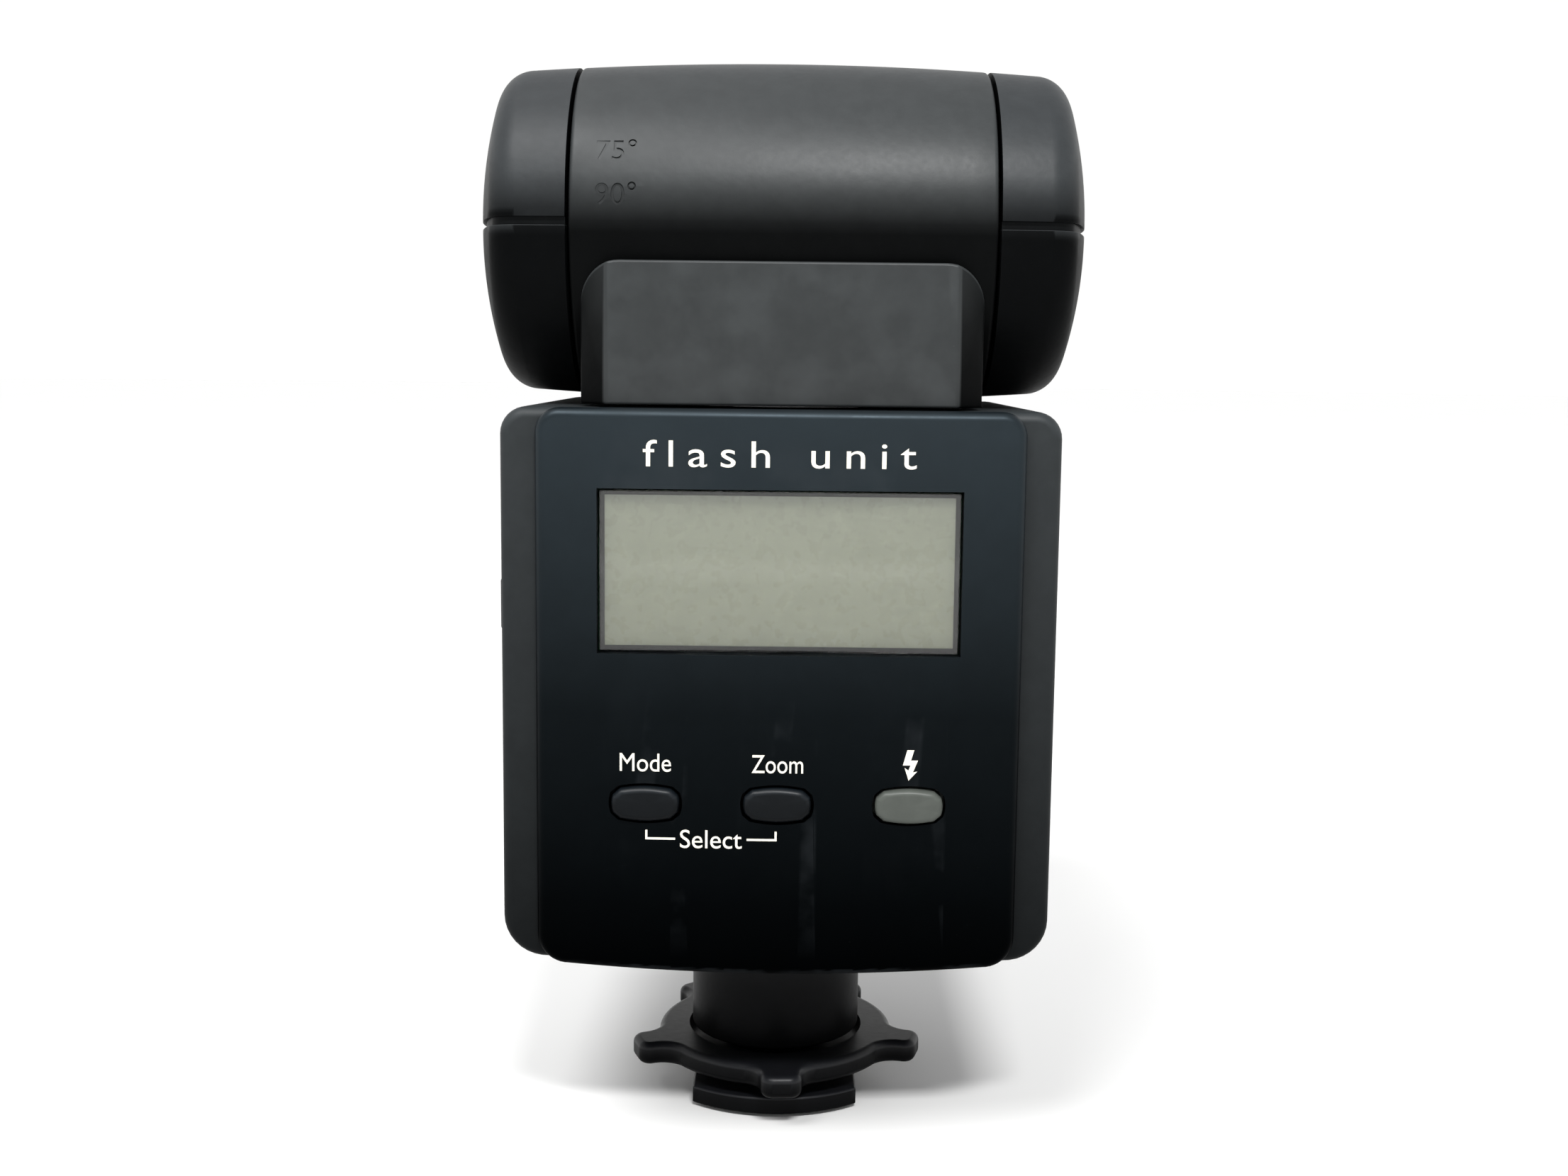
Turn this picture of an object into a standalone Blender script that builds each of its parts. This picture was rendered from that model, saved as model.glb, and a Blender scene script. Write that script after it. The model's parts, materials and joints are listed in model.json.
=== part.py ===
"""A clip-on speedlight flash with a locking shoe foot, a swivel neck and a tilting zoom head.

Lengths in this file are millimetres, turned into metres where a mesh is made. The origin is the
centre of the shoe plate's underside, +Z is up, and the head points along +Y at rest.
"""
import math

import bmesh
import bpy
from mathutils import Matrix, Vector

MM = 0.001
GAP = 0.3
WALL = 1.8
ROUND_STEPS = 28
SCREW_HEAD_THICK = 0.7
SHANK_SHARE = 0.55

# Shoe foot
SHOE_WIDTH = 18.6
SHOE_THICK = 2.0
SHOE_FRONT = 10.0
SHOE_REAR = -13.0
SHOE_REAR_RADIUS = 15.1
SHOE_CORNER = 0.8
POST_RADIUS = 6.0
POST_FLANGE_RADIUS = 9.0
POST_FLANGE_THICK = 1.4
CABLE_WAY_RADIUS = 4.0
CABLE_WAY_LOW = 9.0
RING_RADIUS = 8.9
RING_BORE = 6.4
RING_LOW = SHOE_THICK + GAP
RING_HIGH = 3.2
CENTRE_CONTACT_Y = 3.4
CENTRE_CONTACT_RADIUS = 1.2
CONTACT_Y = -4.6
CONTACT_XS = (-5.4, -1.8, 1.8, 5.4)
CONTACT_RADIUS = 0.6
CONTACT_PROUD = 0.4
CONTACT_LENGTH = 2.1
CONTACT_HOLE_DEPTH = 2.7

# Locking wheel
WHEEL_LOW = RING_HIGH + GAP
WHEEL_HIGH = 6.1
WHEEL_RIM = 13.7
WHEEL_TIP = 17.2
WHEEL_LOBES = 5
LOBE_HALF = 2.3
LOBE_TURN = 2.8
LOBE_FILLET = 2.6
TIP_ROUND = 1.4
WHEEL_RECESS = 4.6
STEM_LOW = WHEEL_HIGH + GAP
STEM_RADIUS = 9.8

# Body
BODY_HALF = 28.8
BODY_LOW = 20.4
BODY_CORNER_LOW = 21.7
BODY_HIGH = 79.4
BODY_REAR = -22.5
BODY_SEAM = -14.0
BODY_FRONT = 27.0
COVER_HALF = 25.0
COVER_REAR = -25.0
COVER_FRONT = BODY_REAR - GAP
COVER_BULGE_RADIUS = 420.0
COVER_ROUND = 0.9
FRONT_ROUND = 1.6
REAR_ROUND = 0.8
PANEL_HOLE_HALF = 22.5
PANEL_HOLE_LOW = 29.0
PANEL_HOLE_HIGH = 74.5
BODY_SCREWS = ((-20.0, -8.0), (-20.0, 19.0))
BODY_SCREW_SEAT = 22.2
BODY_SCREW_HEAD = 1.8
BODY_SCREW_LENGTH = 4.8
SWITCH_REAR = -20.0
SWITCH_FRONT = -17.0
SWITCH_LOW = 56.0
SWITCH_HIGH = 61.5
SWITCH_TRAVEL = 3.0
ASSIST_LOW = (-20.0, 28.0)
ASSIST_HIGH = (-4.0, 38.0)
ASSIST_THICK = 1.8

# Rear panel
LCD_HALF_WIDTH = 18.7
LCD_LOW = 54.3
LCD_HIGH = 71.4
PANE_REAR = -24.1
PANE_FRONT = -23.2
BUTTON_XS = {"mode_button": -13.6, "zoom_button": 0.0, "test_button": 13.6}
BUTTON_Z = 38.8
BUTTON_WIDTH = 7.0
BUTTON_HEIGHT = 3.6
BUTTON_REAR = -25.5
FLANGE_REAR = COVER_FRONT + GAP
FLANGE_FRONT = FLANGE_REAR + 0.6
BUTTON_FLANGE = 0.8
KEYPAD_REAR = -20.8
BOARD_REAR = -19.5

# Batteries and power parts
CELL_RADIUS = 7.1
CELL_LOW = 25.0
CELL_LENGTH = 48.5
NIPPLE_LENGTH = 1.0
CELL_PLACES = ((4.1, -1.0), (18.7, -1.0), (4.1, 13.7), (18.7, 13.7))
DOOR_REAR = -9.0
DOOR_FRONT = 21.5
DOOR_LOW = 26.5
DOOR_HIGH = 74.0
DOOR_THICK = 1.5
LATCH_Y = 6.0
LATCH_Z = 66.0
LATCH_HALF_WIDTH = 6.0
LATCH_HALF_HEIGHT = 2.5
LATCH_TRAVEL = 3.0

# Neck and tilt
AXIS_Y = -3.5
AXIS_Z = 98.1
BARREL_HALF = 21.8
BARREL_RADIUS = 18.2
CROWN_RADIUS = 376.0
NECK_HALF = 20.7
NECK_CHAMFER = 2.9
NECK_LOW = BODY_HIGH + GAP
NECK_HIGH = 94.2
NECK_REAR = -22.8
NECK_FRONT = 1.0
DISC_HIGH = 84.0
HUB_RADIUS = 11.0
HUB_BORE = 8.0
AXLE_RADIUS = 4.5
GROOVE_HALF = 0.5
SEAM_HALF = 0.15

# Head
CHEEK_MAX = 32.7
CHEEK_RADIUS = 48.0
CORNER_RADIUS = 3.1
HEAD_FRONT = 60.6
BEZEL_FRONT = 63.0
SLOT_HALF = BARREL_HALF + 0.4
SLOT_RADIUS = BARREL_RADIUS + 0.5
SLOT_OPENING = 6.0
NOTCH_REACH = 19.5
NOTCH_DROP = 13.0
CARRIAGE_REAR = 39.0
CARRIAGE_FRONT = 56.0
ZOOM_TRAVEL = 18.0
FRAME_HALF = 20.0
ROD_X = 24.0
ROD_Z = AXIS_Z - 9.0
HEAD_SCREWS = ((-24.0, 36.0), (24.0, 36.0))
HEAD_SCREW_SEAT = 81.9
HEAD_SCREW_HEAD = 1.7
HEAD_SCREW_LENGTH = 4.2

# Colour, roughness and metallic of each kind of piece
LOOKS = {
    "casing": ((0.030, 0.032, 0.033), 0.55, 0.0),
    "cover": ((0.020, 0.022, 0.024), 0.45, 0.0),
    "rubber": ((0.015, 0.015, 0.016), 0.85, 0.0),
    "grey_key": ((0.35, 0.38, 0.35), 0.40, 0.0),
    "display": ((0.36, 0.38, 0.29), 0.35, 0.0),
    "clear": ((0.85, 0.88, 0.86), 0.05, 0.0),
    "red_clear": ((0.30, 0.01, 0.02), 0.10, 0.0),
    "board": ((0.02, 0.12, 0.05), 0.50, 0.0),
    "inner": ((0.12, 0.12, 0.13), 0.60, 0.0),
    "steel": ((0.62, 0.62, 0.63), 0.30, 1.0),
    "brass": ((0.72, 0.56, 0.28), 0.30, 1.0),
    "mirror": ((0.90, 0.90, 0.90), 0.08, 1.0),
    "cell": ((0.10, 0.10, 0.12), 0.35, 0.0),
    "copper": ((0.70, 0.35, 0.18), 0.35, 1.0),
}


def start_scene():
    """Empties the scene and makes the two collections."""
    for obj in list(bpy.data.objects):
        bpy.data.objects.remove(obj, do_unlink=True)
    parts = bpy.data.collections.new("speedlight_flash")
    cutters = bpy.data.collections.new("cutters")
    for collection in (parts, cutters):
        bpy.context.scene.collection.children.link(collection)
    cutters.hide_render = True
    return parts, cutters


PARTS, CUTTERS = start_scene()


def add_material(obj, look):
    """Gives the object its own Principled material."""
    colour, roughness, metallic = LOOKS[look]
    material = bpy.data.materials.new(obj.name)
    material.use_nodes = True
    shader = material.node_tree.nodes["Principled BSDF"]
    shader.inputs["Base Color"].default_value = (*colour, 1.0)
    shader.inputs["Roughness"].default_value = roughness
    shader.inputs["Metallic"].default_value = metallic
    obj.data.materials.append(material)


def place(name, mesh, look, matrix=None):
    """Links a mesh as a part, or as a cutter where it has no look."""
    obj = bpy.data.objects.new(name, mesh)
    obj.matrix_world = matrix or Matrix()
    if look:
        PARTS.objects.link(obj)
        add_material(obj, look)
    else:
        CUTTERS.objects.link(obj)
        obj.hide_render = True
        obj.display_type = "WIRE"
    mesh.shade_smooth()
    mesh.set_sharp_from_angle(angle=math.radians(35))
    return obj


def box(name, low, high, look=None, bevel=0.0):
    """A box between two corners, its edges rounded by a Bevel."""
    low, high = Vector(low) * MM, Vector(high) * MM
    bm = bmesh.new()
    bmesh.ops.create_cube(bm, size=1.0)
    bmesh.ops.scale(bm, vec=high - low, verts=bm.verts)
    mesh = bpy.data.meshes.new(name)
    bm.to_mesh(mesh)
    bm.free()
    obj = place(name, mesh, look, Matrix.Translation((low + high) / 2))
    if bevel:
        round_edges(obj, bevel)
    return obj


def round_edges(obj, width, segments=2):
    bevel = obj.modifiers.new("edges", "BEVEL")
    bevel.width = width * MM
    bevel.segments = segments
    bevel.limit_method = "ANGLE"
    bevel.angle_limit = math.radians(40)


def facing(axis):
    """The turn that takes local Z to this world axis, with the outline's x and y in axis order."""
    if axis == "X":
        return Matrix.Rotation(math.pi / 2, 4, "Z") @ Matrix.Rotation(math.pi / 2, 4, "X")
    if axis == "Y":
        return Matrix.Rotation(math.pi / 2, 4, "X")
    return Matrix()


def rod(name, centre, axis, length, radius, look=None, sides=ROUND_STEPS):
    """A cylinder along an axis, about its centre."""
    bm = bmesh.new()
    bmesh.ops.create_cone(
        bm,
        cap_ends=True,
        segments=sides,
        radius1=radius * MM,
        radius2=radius * MM,
        depth=length * MM,
    )
    mesh = bpy.data.meshes.new(name)
    bm.to_mesh(mesh)
    bm.free()
    return place(name, mesh, look, Matrix.Translation(Vector(centre) * MM) @ facing(axis))


def turned(name, profile, centre, look, axis="Z"):
    """A turned shape. The profile is (radius, height), down its outer side first."""
    mesh = bpy.data.meshes.new(name)
    points = [(radius * MM, 0, height * MM) for radius, height in profile]
    edges = [(i, (i + 1) % len(points)) for i in range(len(points))]
    if profile[0][0] == 0:
        edges.pop()
    mesh.from_pydata(points, edges, [])
    obj = place(name, mesh, look, Matrix.Translation(Vector(centre) * MM) @ facing(axis))
    screw = obj.modifiers.new("turn", "SCREW")
    screw.steps = ROUND_STEPS
    screw.render_steps = ROUND_STEPS
    screw.use_merge_vertices = True
    screw.merge_threshold = 0.00001
    return obj


def tube(name, centre, axis, length, outer, inner, look):
    half = length / 2
    profile = [(outer, half), (outer, -half), (inner, -half), (inner, half)]
    return turned(name, profile, centre, look, axis)


def arc(centre, radius, start, end, steps):
    """Points along an arc between two angles in degrees."""
    points = []
    for i in range(steps + 1):
        angle = math.radians(start + (end - start) * i / steps)
        points.append((centre[0] + radius * math.cos(angle), centre[1] + radius * math.sin(angle)))
    return points


def rounded(corners, steps=5):
    """An outline through (x, y, radius) corners, each corner an arc of its radius."""
    points = []
    for i, (x, y, radius) in enumerate(corners):
        if not radius:
            points.append((x, y))
            continue
        here = Vector((x, y))
        before = (Vector(corners[i - 1][:2]) - here).normalized()
        after = (Vector(corners[(i + 1) % len(corners)][:2]) - here).normalized()
        half = before.angle(after) / 2
        centre = here + (before + after).normalized() * radius / math.sin(half)
        start = here + before * radius / math.tan(half) - centre
        end = here + after * radius / math.tan(half) - centre
        first = math.degrees(math.atan2(start.y, start.x))
        last = math.degrees(math.atan2(end.y, end.x))
        sweep = (last - first + 180) % 360 - 180
        points += arc(centre, radius, first, first + sweep, steps)
    return points


def prism(name, outline, axis, low, high, look=None):
    """A flat outline given thickness from low to high along an axis, and made a mesh."""
    curve = bpy.data.curves.new(name, "CURVE")
    curve.dimensions = "2D"
    curve.fill_mode = "BOTH"
    curve.extrude = (high - low) / 2 * MM
    spline = curve.splines.new("POLY")
    spline.points.add(len(outline) - 1)
    for point, (x, y) in zip(spline.points, outline):
        point.co = (x * MM, y * MM, 0, 1)
    spline.use_cyclic_u = True
    guide = bpy.data.objects.new(name + "_outline", curve)
    PARTS.objects.link(guide)
    direction = {"X": Vector((1, 0, 0)), "Y": Vector((0, 1, 0)), "Z": Vector((0, 0, 1))}[axis]
    matrix = Matrix.Translation(direction * (low + high) / 2 * MM) @ facing(axis)
    bpy.context.view_layer.update()
    mesh = bpy.data.meshes.new_from_object(guide.evaluated_get(bpy.context.evaluated_depsgraph_get()))
    bpy.data.objects.remove(guide, do_unlink=True)
    bm = bmesh.new()
    bm.from_mesh(mesh)
    bmesh.ops.remove_doubles(bm, verts=bm.verts, dist=0.000001)
    bmesh.ops.dissolve_limit(bm, angle_limit=math.radians(0.5), verts=bm.verts, edges=bm.edges)
    bmesh.ops.recalc_face_normals(bm, faces=bm.faces)
    if bm.calc_volume(signed=True) < 0:
        bmesh.ops.reverse_faces(bm, faces=bm.faces)
    bm.to_mesh(mesh)
    bm.free()
    mesh.name = name
    return place(name, mesh, look, matrix)


def combine(obj, operation, *others):
    """Cuts, joins or intersects with each of the other objects."""
    for other in others:
        boolean = obj.modifiers.new(operation.lower(), "BOOLEAN")
        boolean.operation = operation
        boolean.object = other
        boolean.solver = "EXACT"
    return obj


def cut(obj, *others):
    return combine(obj, "DIFFERENCE", *others)


def join(obj, *others):
    return combine(obj, "UNION", *others)


def pivot(name, point, parent=None):
    """An empty on a joint's axis, for the pieces that move with the joint."""
    empty = bpy.data.objects.new(name, None)
    empty.empty_display_size = 5 * MM
    PARTS.objects.link(empty)
    empty.location = Vector(point) * MM
    if parent:
        attach(parent, empty)
    return empty


def attach(parent, *pieces):
    """Parents pieces, which keep their places."""
    for piece in pieces:
        bpy.context.view_layer.update()
        matrix = piece.matrix_world.copy()
        piece.parent = parent
        piece.matrix_parent_inverse = parent.matrix_world.inverted()
        piece.matrix_world = matrix


def shoe_outline():
    reach = SHOE_WIDTH / 2
    span = math.degrees(math.asin(reach / SHOE_REAR_RADIUS))
    middle = (0, SHOE_REAR + SHOE_REAR_RADIUS)
    rear = arc(middle, SHOE_REAR_RADIUS, -90 - span, -90 + span, 12)
    return rear + [
        (reach, SHOE_FRONT - SHOE_CORNER), (reach - SHOE_CORNER, SHOE_FRONT),
        (SHOE_CORNER - reach, SHOE_FRONT), (-reach, SHOE_FRONT - SHOE_CORNER),
    ]


def contact_places():
    """Name, x, y and radius of each contact in the shoe."""
    places = [("centre_contact", 0.0, CENTRE_CONTACT_Y, CENTRE_CONTACT_RADIUS)]
    for i, x in enumerate(CONTACT_XS, 1):
        places.append((f"contact_pin_{i}", x, CONTACT_Y, CONTACT_RADIUS))
    return places


def make_foot():
    """The shoe plate with its hollow post, and the contacts that slide in it."""
    plate = prism("foot_plate", shoe_outline(), "Z", 0, SHOE_THICK, "cover")
    flange_low = BODY_LOW + WALL + GAP
    top = flange_low + POST_FLANGE_THICK
    root = SHOE_THICK / 2
    profile = [
        (0, top),
        (POST_FLANGE_RADIUS, top),
        (POST_FLANGE_RADIUS, flange_low),
        (POST_RADIUS, flange_low),
        (POST_RADIUS, root),
        (0, root),
    ]
    post = turned("foot_post", profile, (0, 0, 0), None)
    way_length = top + 1 - CABLE_WAY_LOW
    way_middle = (0, 0, CABLE_WAY_LOW + way_length / 2)
    cable_way = rod("foot_cable_way", way_middle, "Z", way_length, CABLE_WAY_RADIUS)
    join(plate, post)
    cut(plate, cable_way)
    for name, x, y, radius in contact_places():
        hole = rod(name + "_hole", (x, y, 0), "Z", 2 * CONTACT_HOLE_DEPTH, radius + GAP, sides=16)
        cut(plate, hole)
        middle = (x, y, CONTACT_LENGTH / 2 - CONTACT_PROUD)
        tip = rod(name, middle, "Z", CONTACT_LENGTH, radius, "brass", sides=14)
        round_edges(tip, 0.25, 1)
        attach(pivot(name + "_axis", (x, y, 0)), tip)


def wheel_outline():
    """Lobes on a round rim: a rounded tip, and a hollow fillet where each side meets the rim."""
    tip = WHEEL_TIP - TIP_ROUND
    side = LOBE_HALF - TIP_ROUND
    lobe = arc((tip, side), TIP_ROUND, 0, 90, 3)
    rise = LOBE_HALF + LOBE_FILLET
    foot = math.sqrt((WHEEL_RIM + LOBE_FILLET) ** 2 - rise**2)
    lean = math.degrees(math.atan2(rise, foot))
    lobe += arc((foot, rise), LOBE_FILLET, -90, lean - 180, 5)
    step = 360 / WHEEL_LOBES
    lobe += arc((0, 0), WHEEL_RIM, lean, step / 2, 3)[1:-1]
    ordered = [(x, -y) for x, y in reversed(lobe)] + lobe
    points = []
    for i in range(WHEEL_LOBES):
        turn = math.radians(-90 + LOBE_TURN + i * step)
        points += [
            (x * math.cos(turn) - y * math.sin(turn), x * math.sin(turn) + y * math.cos(turn))
            for x, y in ordered
        ]
    return points


def make_clamp():
    """The wheel that turns on the post, and the ring that it presses down on the shoe rails."""
    middle = (RING_LOW + RING_HIGH) / 2
    ring = tube("clamp_ring", (0, 0, middle), "Z", RING_HIGH - RING_LOW, RING_RADIUS, RING_BORE, "cover")
    wheel = prism("locking_wheel", wheel_outline(), "Z", WHEEL_LOW, WHEEL_HIGH, "casing")
    bore = rod("wheel_bore", (0, 0, WHEEL_LOW), "Z", 20, POST_RADIUS + GAP)
    recess = rod("wheel_recess", (0, 0, WHEEL_RECESS + 5), "Z", 10, STEM_RADIUS + GAP)
    cut(wheel, bore, recess)
    round_edges(wheel, 0.35, 1)
    lift = pivot("clamp_lift_axis", (0, 0, RING_LOW))
    attach(lift, ring)
    attach(pivot("wheel_turn_axis", (0, 0, WHEEL_LOW), lift), wheel)
    stem_high = BODY_LOW - GAP
    tube(
        "foot_stem", (0, 0, (STEM_LOW + stem_high) / 2), "Z", stem_high - STEM_LOW,
        STEM_RADIUS, POST_RADIUS + GAP, "casing",
    )


def body_outline(half, inset=0.0, low=BODY_LOW, corner=4.5, top_corner=2.8):
    """The body from behind: a flat top and a bottom that bows down in the middle."""
    side = half - inset
    high = BODY_HIGH - inset
    rise = BODY_CORNER_LOW - BODY_LOW
    radius = (BODY_HALF**2 + rise**2) / (2 * rise)
    span = math.degrees(math.asin((side - corner) / radius))
    bow = arc((0, low + inset + radius), radius, -90 - span, -90 + span, 8)
    corner_z = low + inset + radius - math.sqrt(radius**2 - (side - corner) ** 2)
    right = arc((side - corner, corner_z + corner), corner, -80, 0, 4)
    left = arc((corner - side, corner_z + corner), corner, 180, 260, 4)
    top = arc((side - top_corner, high - top_corner), top_corner, 0, 90, 4)
    top += arc((top_corner - side, high - top_corner), top_corner, 90, 180, 4)
    return bow + right + top + left


def body_block(name, low, high, inset, look=None):
    return prism(name, body_outline(BODY_HALF, inset), "Y", low, high, look)


def make_housings():
    """The front and rear halves of the body, which meet at a seam."""
    front = body_block("front_housing", BODY_SEAM + 0.15, BODY_FRONT, 0, "casing")
    round_edges(front, FRONT_ROUND)
    front_hollow = body_block("front_hollow", BODY_SEAM - 1, BODY_FRONT - WALL, WALL)
    deck_hole = rod("deck_hole", (0, AXIS_Y, BODY_HIGH), "Z", 8, HUB_RADIUS + GAP)
    post_hole = rod("post_hole", (0, 0, BODY_LOW), "Z", 8, POST_RADIUS + GAP)
    door_hole = box(
        "door_hole", (BODY_HALF - 3, DOOR_REAR - GAP, DOOR_LOW - GAP),
        (BODY_HALF + 3, DOOR_FRONT + GAP, DOOR_HIGH + GAP),
    )
    assist_hole = box(
        "assist_hole", (ASSIST_LOW[0] - GAP, BODY_FRONT - 4, ASSIST_LOW[1] - GAP),
        (ASSIST_HIGH[0] + GAP, BODY_FRONT + 3, ASSIST_HIGH[1] + GAP),
    )
    cut(front, front_hollow, deck_hole, post_hole, door_hole, assist_hole)
    cut(front, *screw_holes("housing_screw", BODY_SCREWS, BODY_SCREW_SEAT, BODY_SCREW_HEAD))
    head_low = BODY_SCREW_SEAT - SCREW_HEAD_THICK - GAP
    make_screws("housing_screw", BODY_SCREWS, head_low, BODY_SCREW_HEAD, BODY_SCREW_LENGTH)

    rear = body_block("rear_housing", BODY_REAR, BODY_SEAM - 0.15, 0, "casing")
    round_edges(rear, REAR_ROUND)
    rear_hollow = body_block("rear_hollow", BODY_REAR + WALL, BODY_SEAM + 1, WALL)
    panel_hole = box(
        "panel_hole", (-PANEL_HOLE_HALF, BODY_REAR - 3, PANEL_HOLE_LOW),
        (PANEL_HOLE_HALF, BODY_REAR + 5, PANEL_HOLE_HIGH),
    )
    switch_hole = box(
        "switch_hole", (-BODY_HALF - 3, SWITCH_REAR - GAP, SWITCH_LOW - GAP),
        (3 - BODY_HALF, SWITCH_FRONT + GAP, SWITCH_HIGH + SWITCH_TRAVEL + GAP),
    )
    cut(rear, rear_hollow, panel_hole, switch_hole, deck_hole)


def bow_rear_face(cover):
    """Rounds the rear edge of the panel and bows its rear face; local +Z points to the rear."""
    bm = bmesh.new()
    bm.from_mesh(cover.data)
    rear = max(vert.co.z for vert in bm.verts)
    rim = [edge for edge in bm.edges if min(vert.co.z for vert in edge.verts) > rear - 0.00001]
    bmesh.ops.bevel(
        bm, geom=rim, offset=COVER_ROUND * MM, segments=3, profile=0.5, affect="EDGES"
    )
    for x in range(-20, 21, 5):
        bmesh.ops.bisect_plane(
            bm, geom=bm.verts[:] + bm.edges[:] + bm.faces[:], dist=0.000001,
            plane_co=((x + 0.4) * MM, 0, 0), plane_no=(1, 0, 0),
        )
    for vert in bm.verts:
        if vert.co.z > 0:
            vert.co.z -= vert.co.x**2 / (2 * COVER_BULGE_RADIUS * MM)
    bm.to_mesh(cover.data)
    bm.free()


def make_rear_cover():
    """The raised rear panel, bowed a little from side to side."""
    outline = body_outline(COVER_HALF, 0.0, BODY_LOW + 0.1, corner=3.2, top_corner=2.6)
    cover = prism("rear_cover", outline, "Y", COVER_REAR, COVER_FRONT, "cover")
    bow_rear_face(cover)
    window = box(
        "window_hole", (-LCD_HALF_WIDTH, -30, LCD_LOW), (LCD_HALF_WIDTH, -20, LCD_HIGH)
    )
    cut(cover, window)
    for name, x in BUTTON_XS.items():
        hole = pillow(name + "_hole", x, BUTTON_WIDTH + 0.6, BUTTON_HEIGHT + 0.6, -28, -20)
        cut(cover, hole)


def pillow(name, x, width, height, low, high, look=None):
    """A key outline with four edges that bow outwards."""
    bulge = height * 0.09
    half_w, half_h = width / 2 - bulge, height / 2 - bulge
    corners = [(-half_w, -half_h), (half_w, -half_h), (half_w, half_h), (-half_w, half_h)]
    points = []
    for i, (x0, z0) in enumerate(corners):
        x1, z1 = corners[(i + 1) % 4]
        for step in range(6):
            t = step / 6
            out = bulge * math.sin(math.pi * t)
            nx, nz = (z1 - z0, x0 - x1)
            size = math.hypot(nx, nz)
            points.append((
                x + x0 + (x1 - x0) * t + nx / size * out,
                BUTTON_Z + z0 + (z1 - z0) * t + nz / size * out,
            ))
    return prism(name, points, "Y", low, high, look)


def make_buttons():
    """Three keys with a flange behind the cover, the rubber keypad and the display."""
    for name, x in BUTTON_XS.items():
        look = "grey_key" if name == "test_button" else "cover"
        key = pillow(name, x, BUTTON_WIDTH, BUTTON_HEIGHT, BUTTON_REAR, FLANGE_FRONT - 0.1, look)
        round_edges(key, 0.35)
        flange = box(
            name + "_flange",
            (x - 4.3, FLANGE_REAR, BUTTON_Z - 2.6),
            (x + 4.3, FLANGE_FRONT, BUTTON_Z + 2.6),
        )
        join(key, flange)
        attach(pivot(name + "_axis", (x, BUTTON_REAR, BUTTON_Z)), key)
    box(
        "keypad_sheet", (-20, KEYPAD_REAR, BUTTON_Z - 4),
        (20, KEYPAD_REAR + 1.0, BUTTON_Z + 4), "rubber", 0.3,
    )
    box(
        "lcd_window", (GAP - LCD_HALF_WIDTH, PANE_REAR, LCD_LOW + GAP),
        (LCD_HALF_WIDTH - GAP, PANE_FRONT, LCD_HIGH - GAP), "clear", 0.15,
    )
    box(
        "lcd_module", (GAP - LCD_HALF_WIDTH, PANE_FRONT + GAP, LCD_LOW + GAP),
        (LCD_HALF_WIDTH - GAP, BOARD_REAR - GAP, LCD_HIGH - GAP), "display", 0.2,
    )
    box(
        "control_board", (1 - PANEL_HOLE_HALF, BOARD_REAR, PANEL_HOLE_LOW + 1),
        (PANEL_HOLE_HALF - 1, BOARD_REAR + 1.4, PANEL_HOLE_HIGH - 1), "board",
    )


def make_power_switch():
    """A slide switch on the left side of the rear housing."""
    out = -BODY_HALF
    cap = box(
        "power_switch", (out - 0.35, SWITCH_REAR, SWITCH_LOW),
        (out + 1.4, SWITCH_FRONT, SWITCH_HIGH), "rubber", 0.3,
    )
    tab = box(
        "switch_tab", (out + 1.0, SWITCH_REAR + 0.8, SWITCH_LOW + 1),
        (out + 3.2, SWITCH_FRONT - 0.8, SWITCH_HIGH - 1),
    )
    grooves = []
    for i in range(3):
        low = SWITCH_LOW + 1.1 + i * 1.3
        grooves.append(box(
            f"switch_groove_{i}", (out - 1.0, SWITCH_REAR - 0.4, low),
            (out - 0.05, SWITCH_FRONT + 0.4, low + 0.4),
        ))
    join(cap, tab)
    cut(cap, *grooves)
    middle = (SWITCH_REAR + SWITCH_FRONT) / 2
    attach(pivot("power_switch_axis", (out, middle, SWITCH_LOW)), cap)


def make_battery_door():
    """A side door hinged along its lower edge, with its sliding latch."""
    inner = BODY_HALF - DOOR_THICK
    door = box(
        "battery_door", (inner, DOOR_REAR, DOOR_LOW), (BODY_HALF, DOOR_FRONT, DOOR_HIGH),
        "casing", 0.4,
    )
    rear, front = LATCH_Y - LATCH_HALF_WIDTH, LATCH_Y + LATCH_HALF_WIDTH
    low, high = LATCH_Z - LATCH_HALF_HEIGHT, LATCH_Z + LATCH_HALF_HEIGHT
    well = box(
        "latch_well", (BODY_HALF - 0.8, rear - GAP, low - GAP),
        (BODY_HALF + 2, front + GAP, high + LATCH_TRAVEL + GAP),
    )
    cut(door, well)
    latch = box(
        "battery_latch", (BODY_HALF - 0.5, rear, low), (BODY_HALF + 0.6, front, high),
        "rubber", 0.25,
    )
    grips = []
    for i in range(3):
        grip_low = low + 0.8 + i * 1.5
        grips.append(box(
            f"latch_grip_{i}", (BODY_HALF + 0.2, rear - 1, grip_low),
            (BODY_HALF + 1.5, front + 1, grip_low + 0.5),
        ))
    cut(latch, *grips)
    hinge = pivot("battery_door_axis", (BODY_HALF, 0, DOOR_LOW))
    attach(hinge, door)
    attach(pivot("battery_latch_axis", (BODY_HALF, LATCH_Y, LATCH_Z), hinge), latch)


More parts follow.
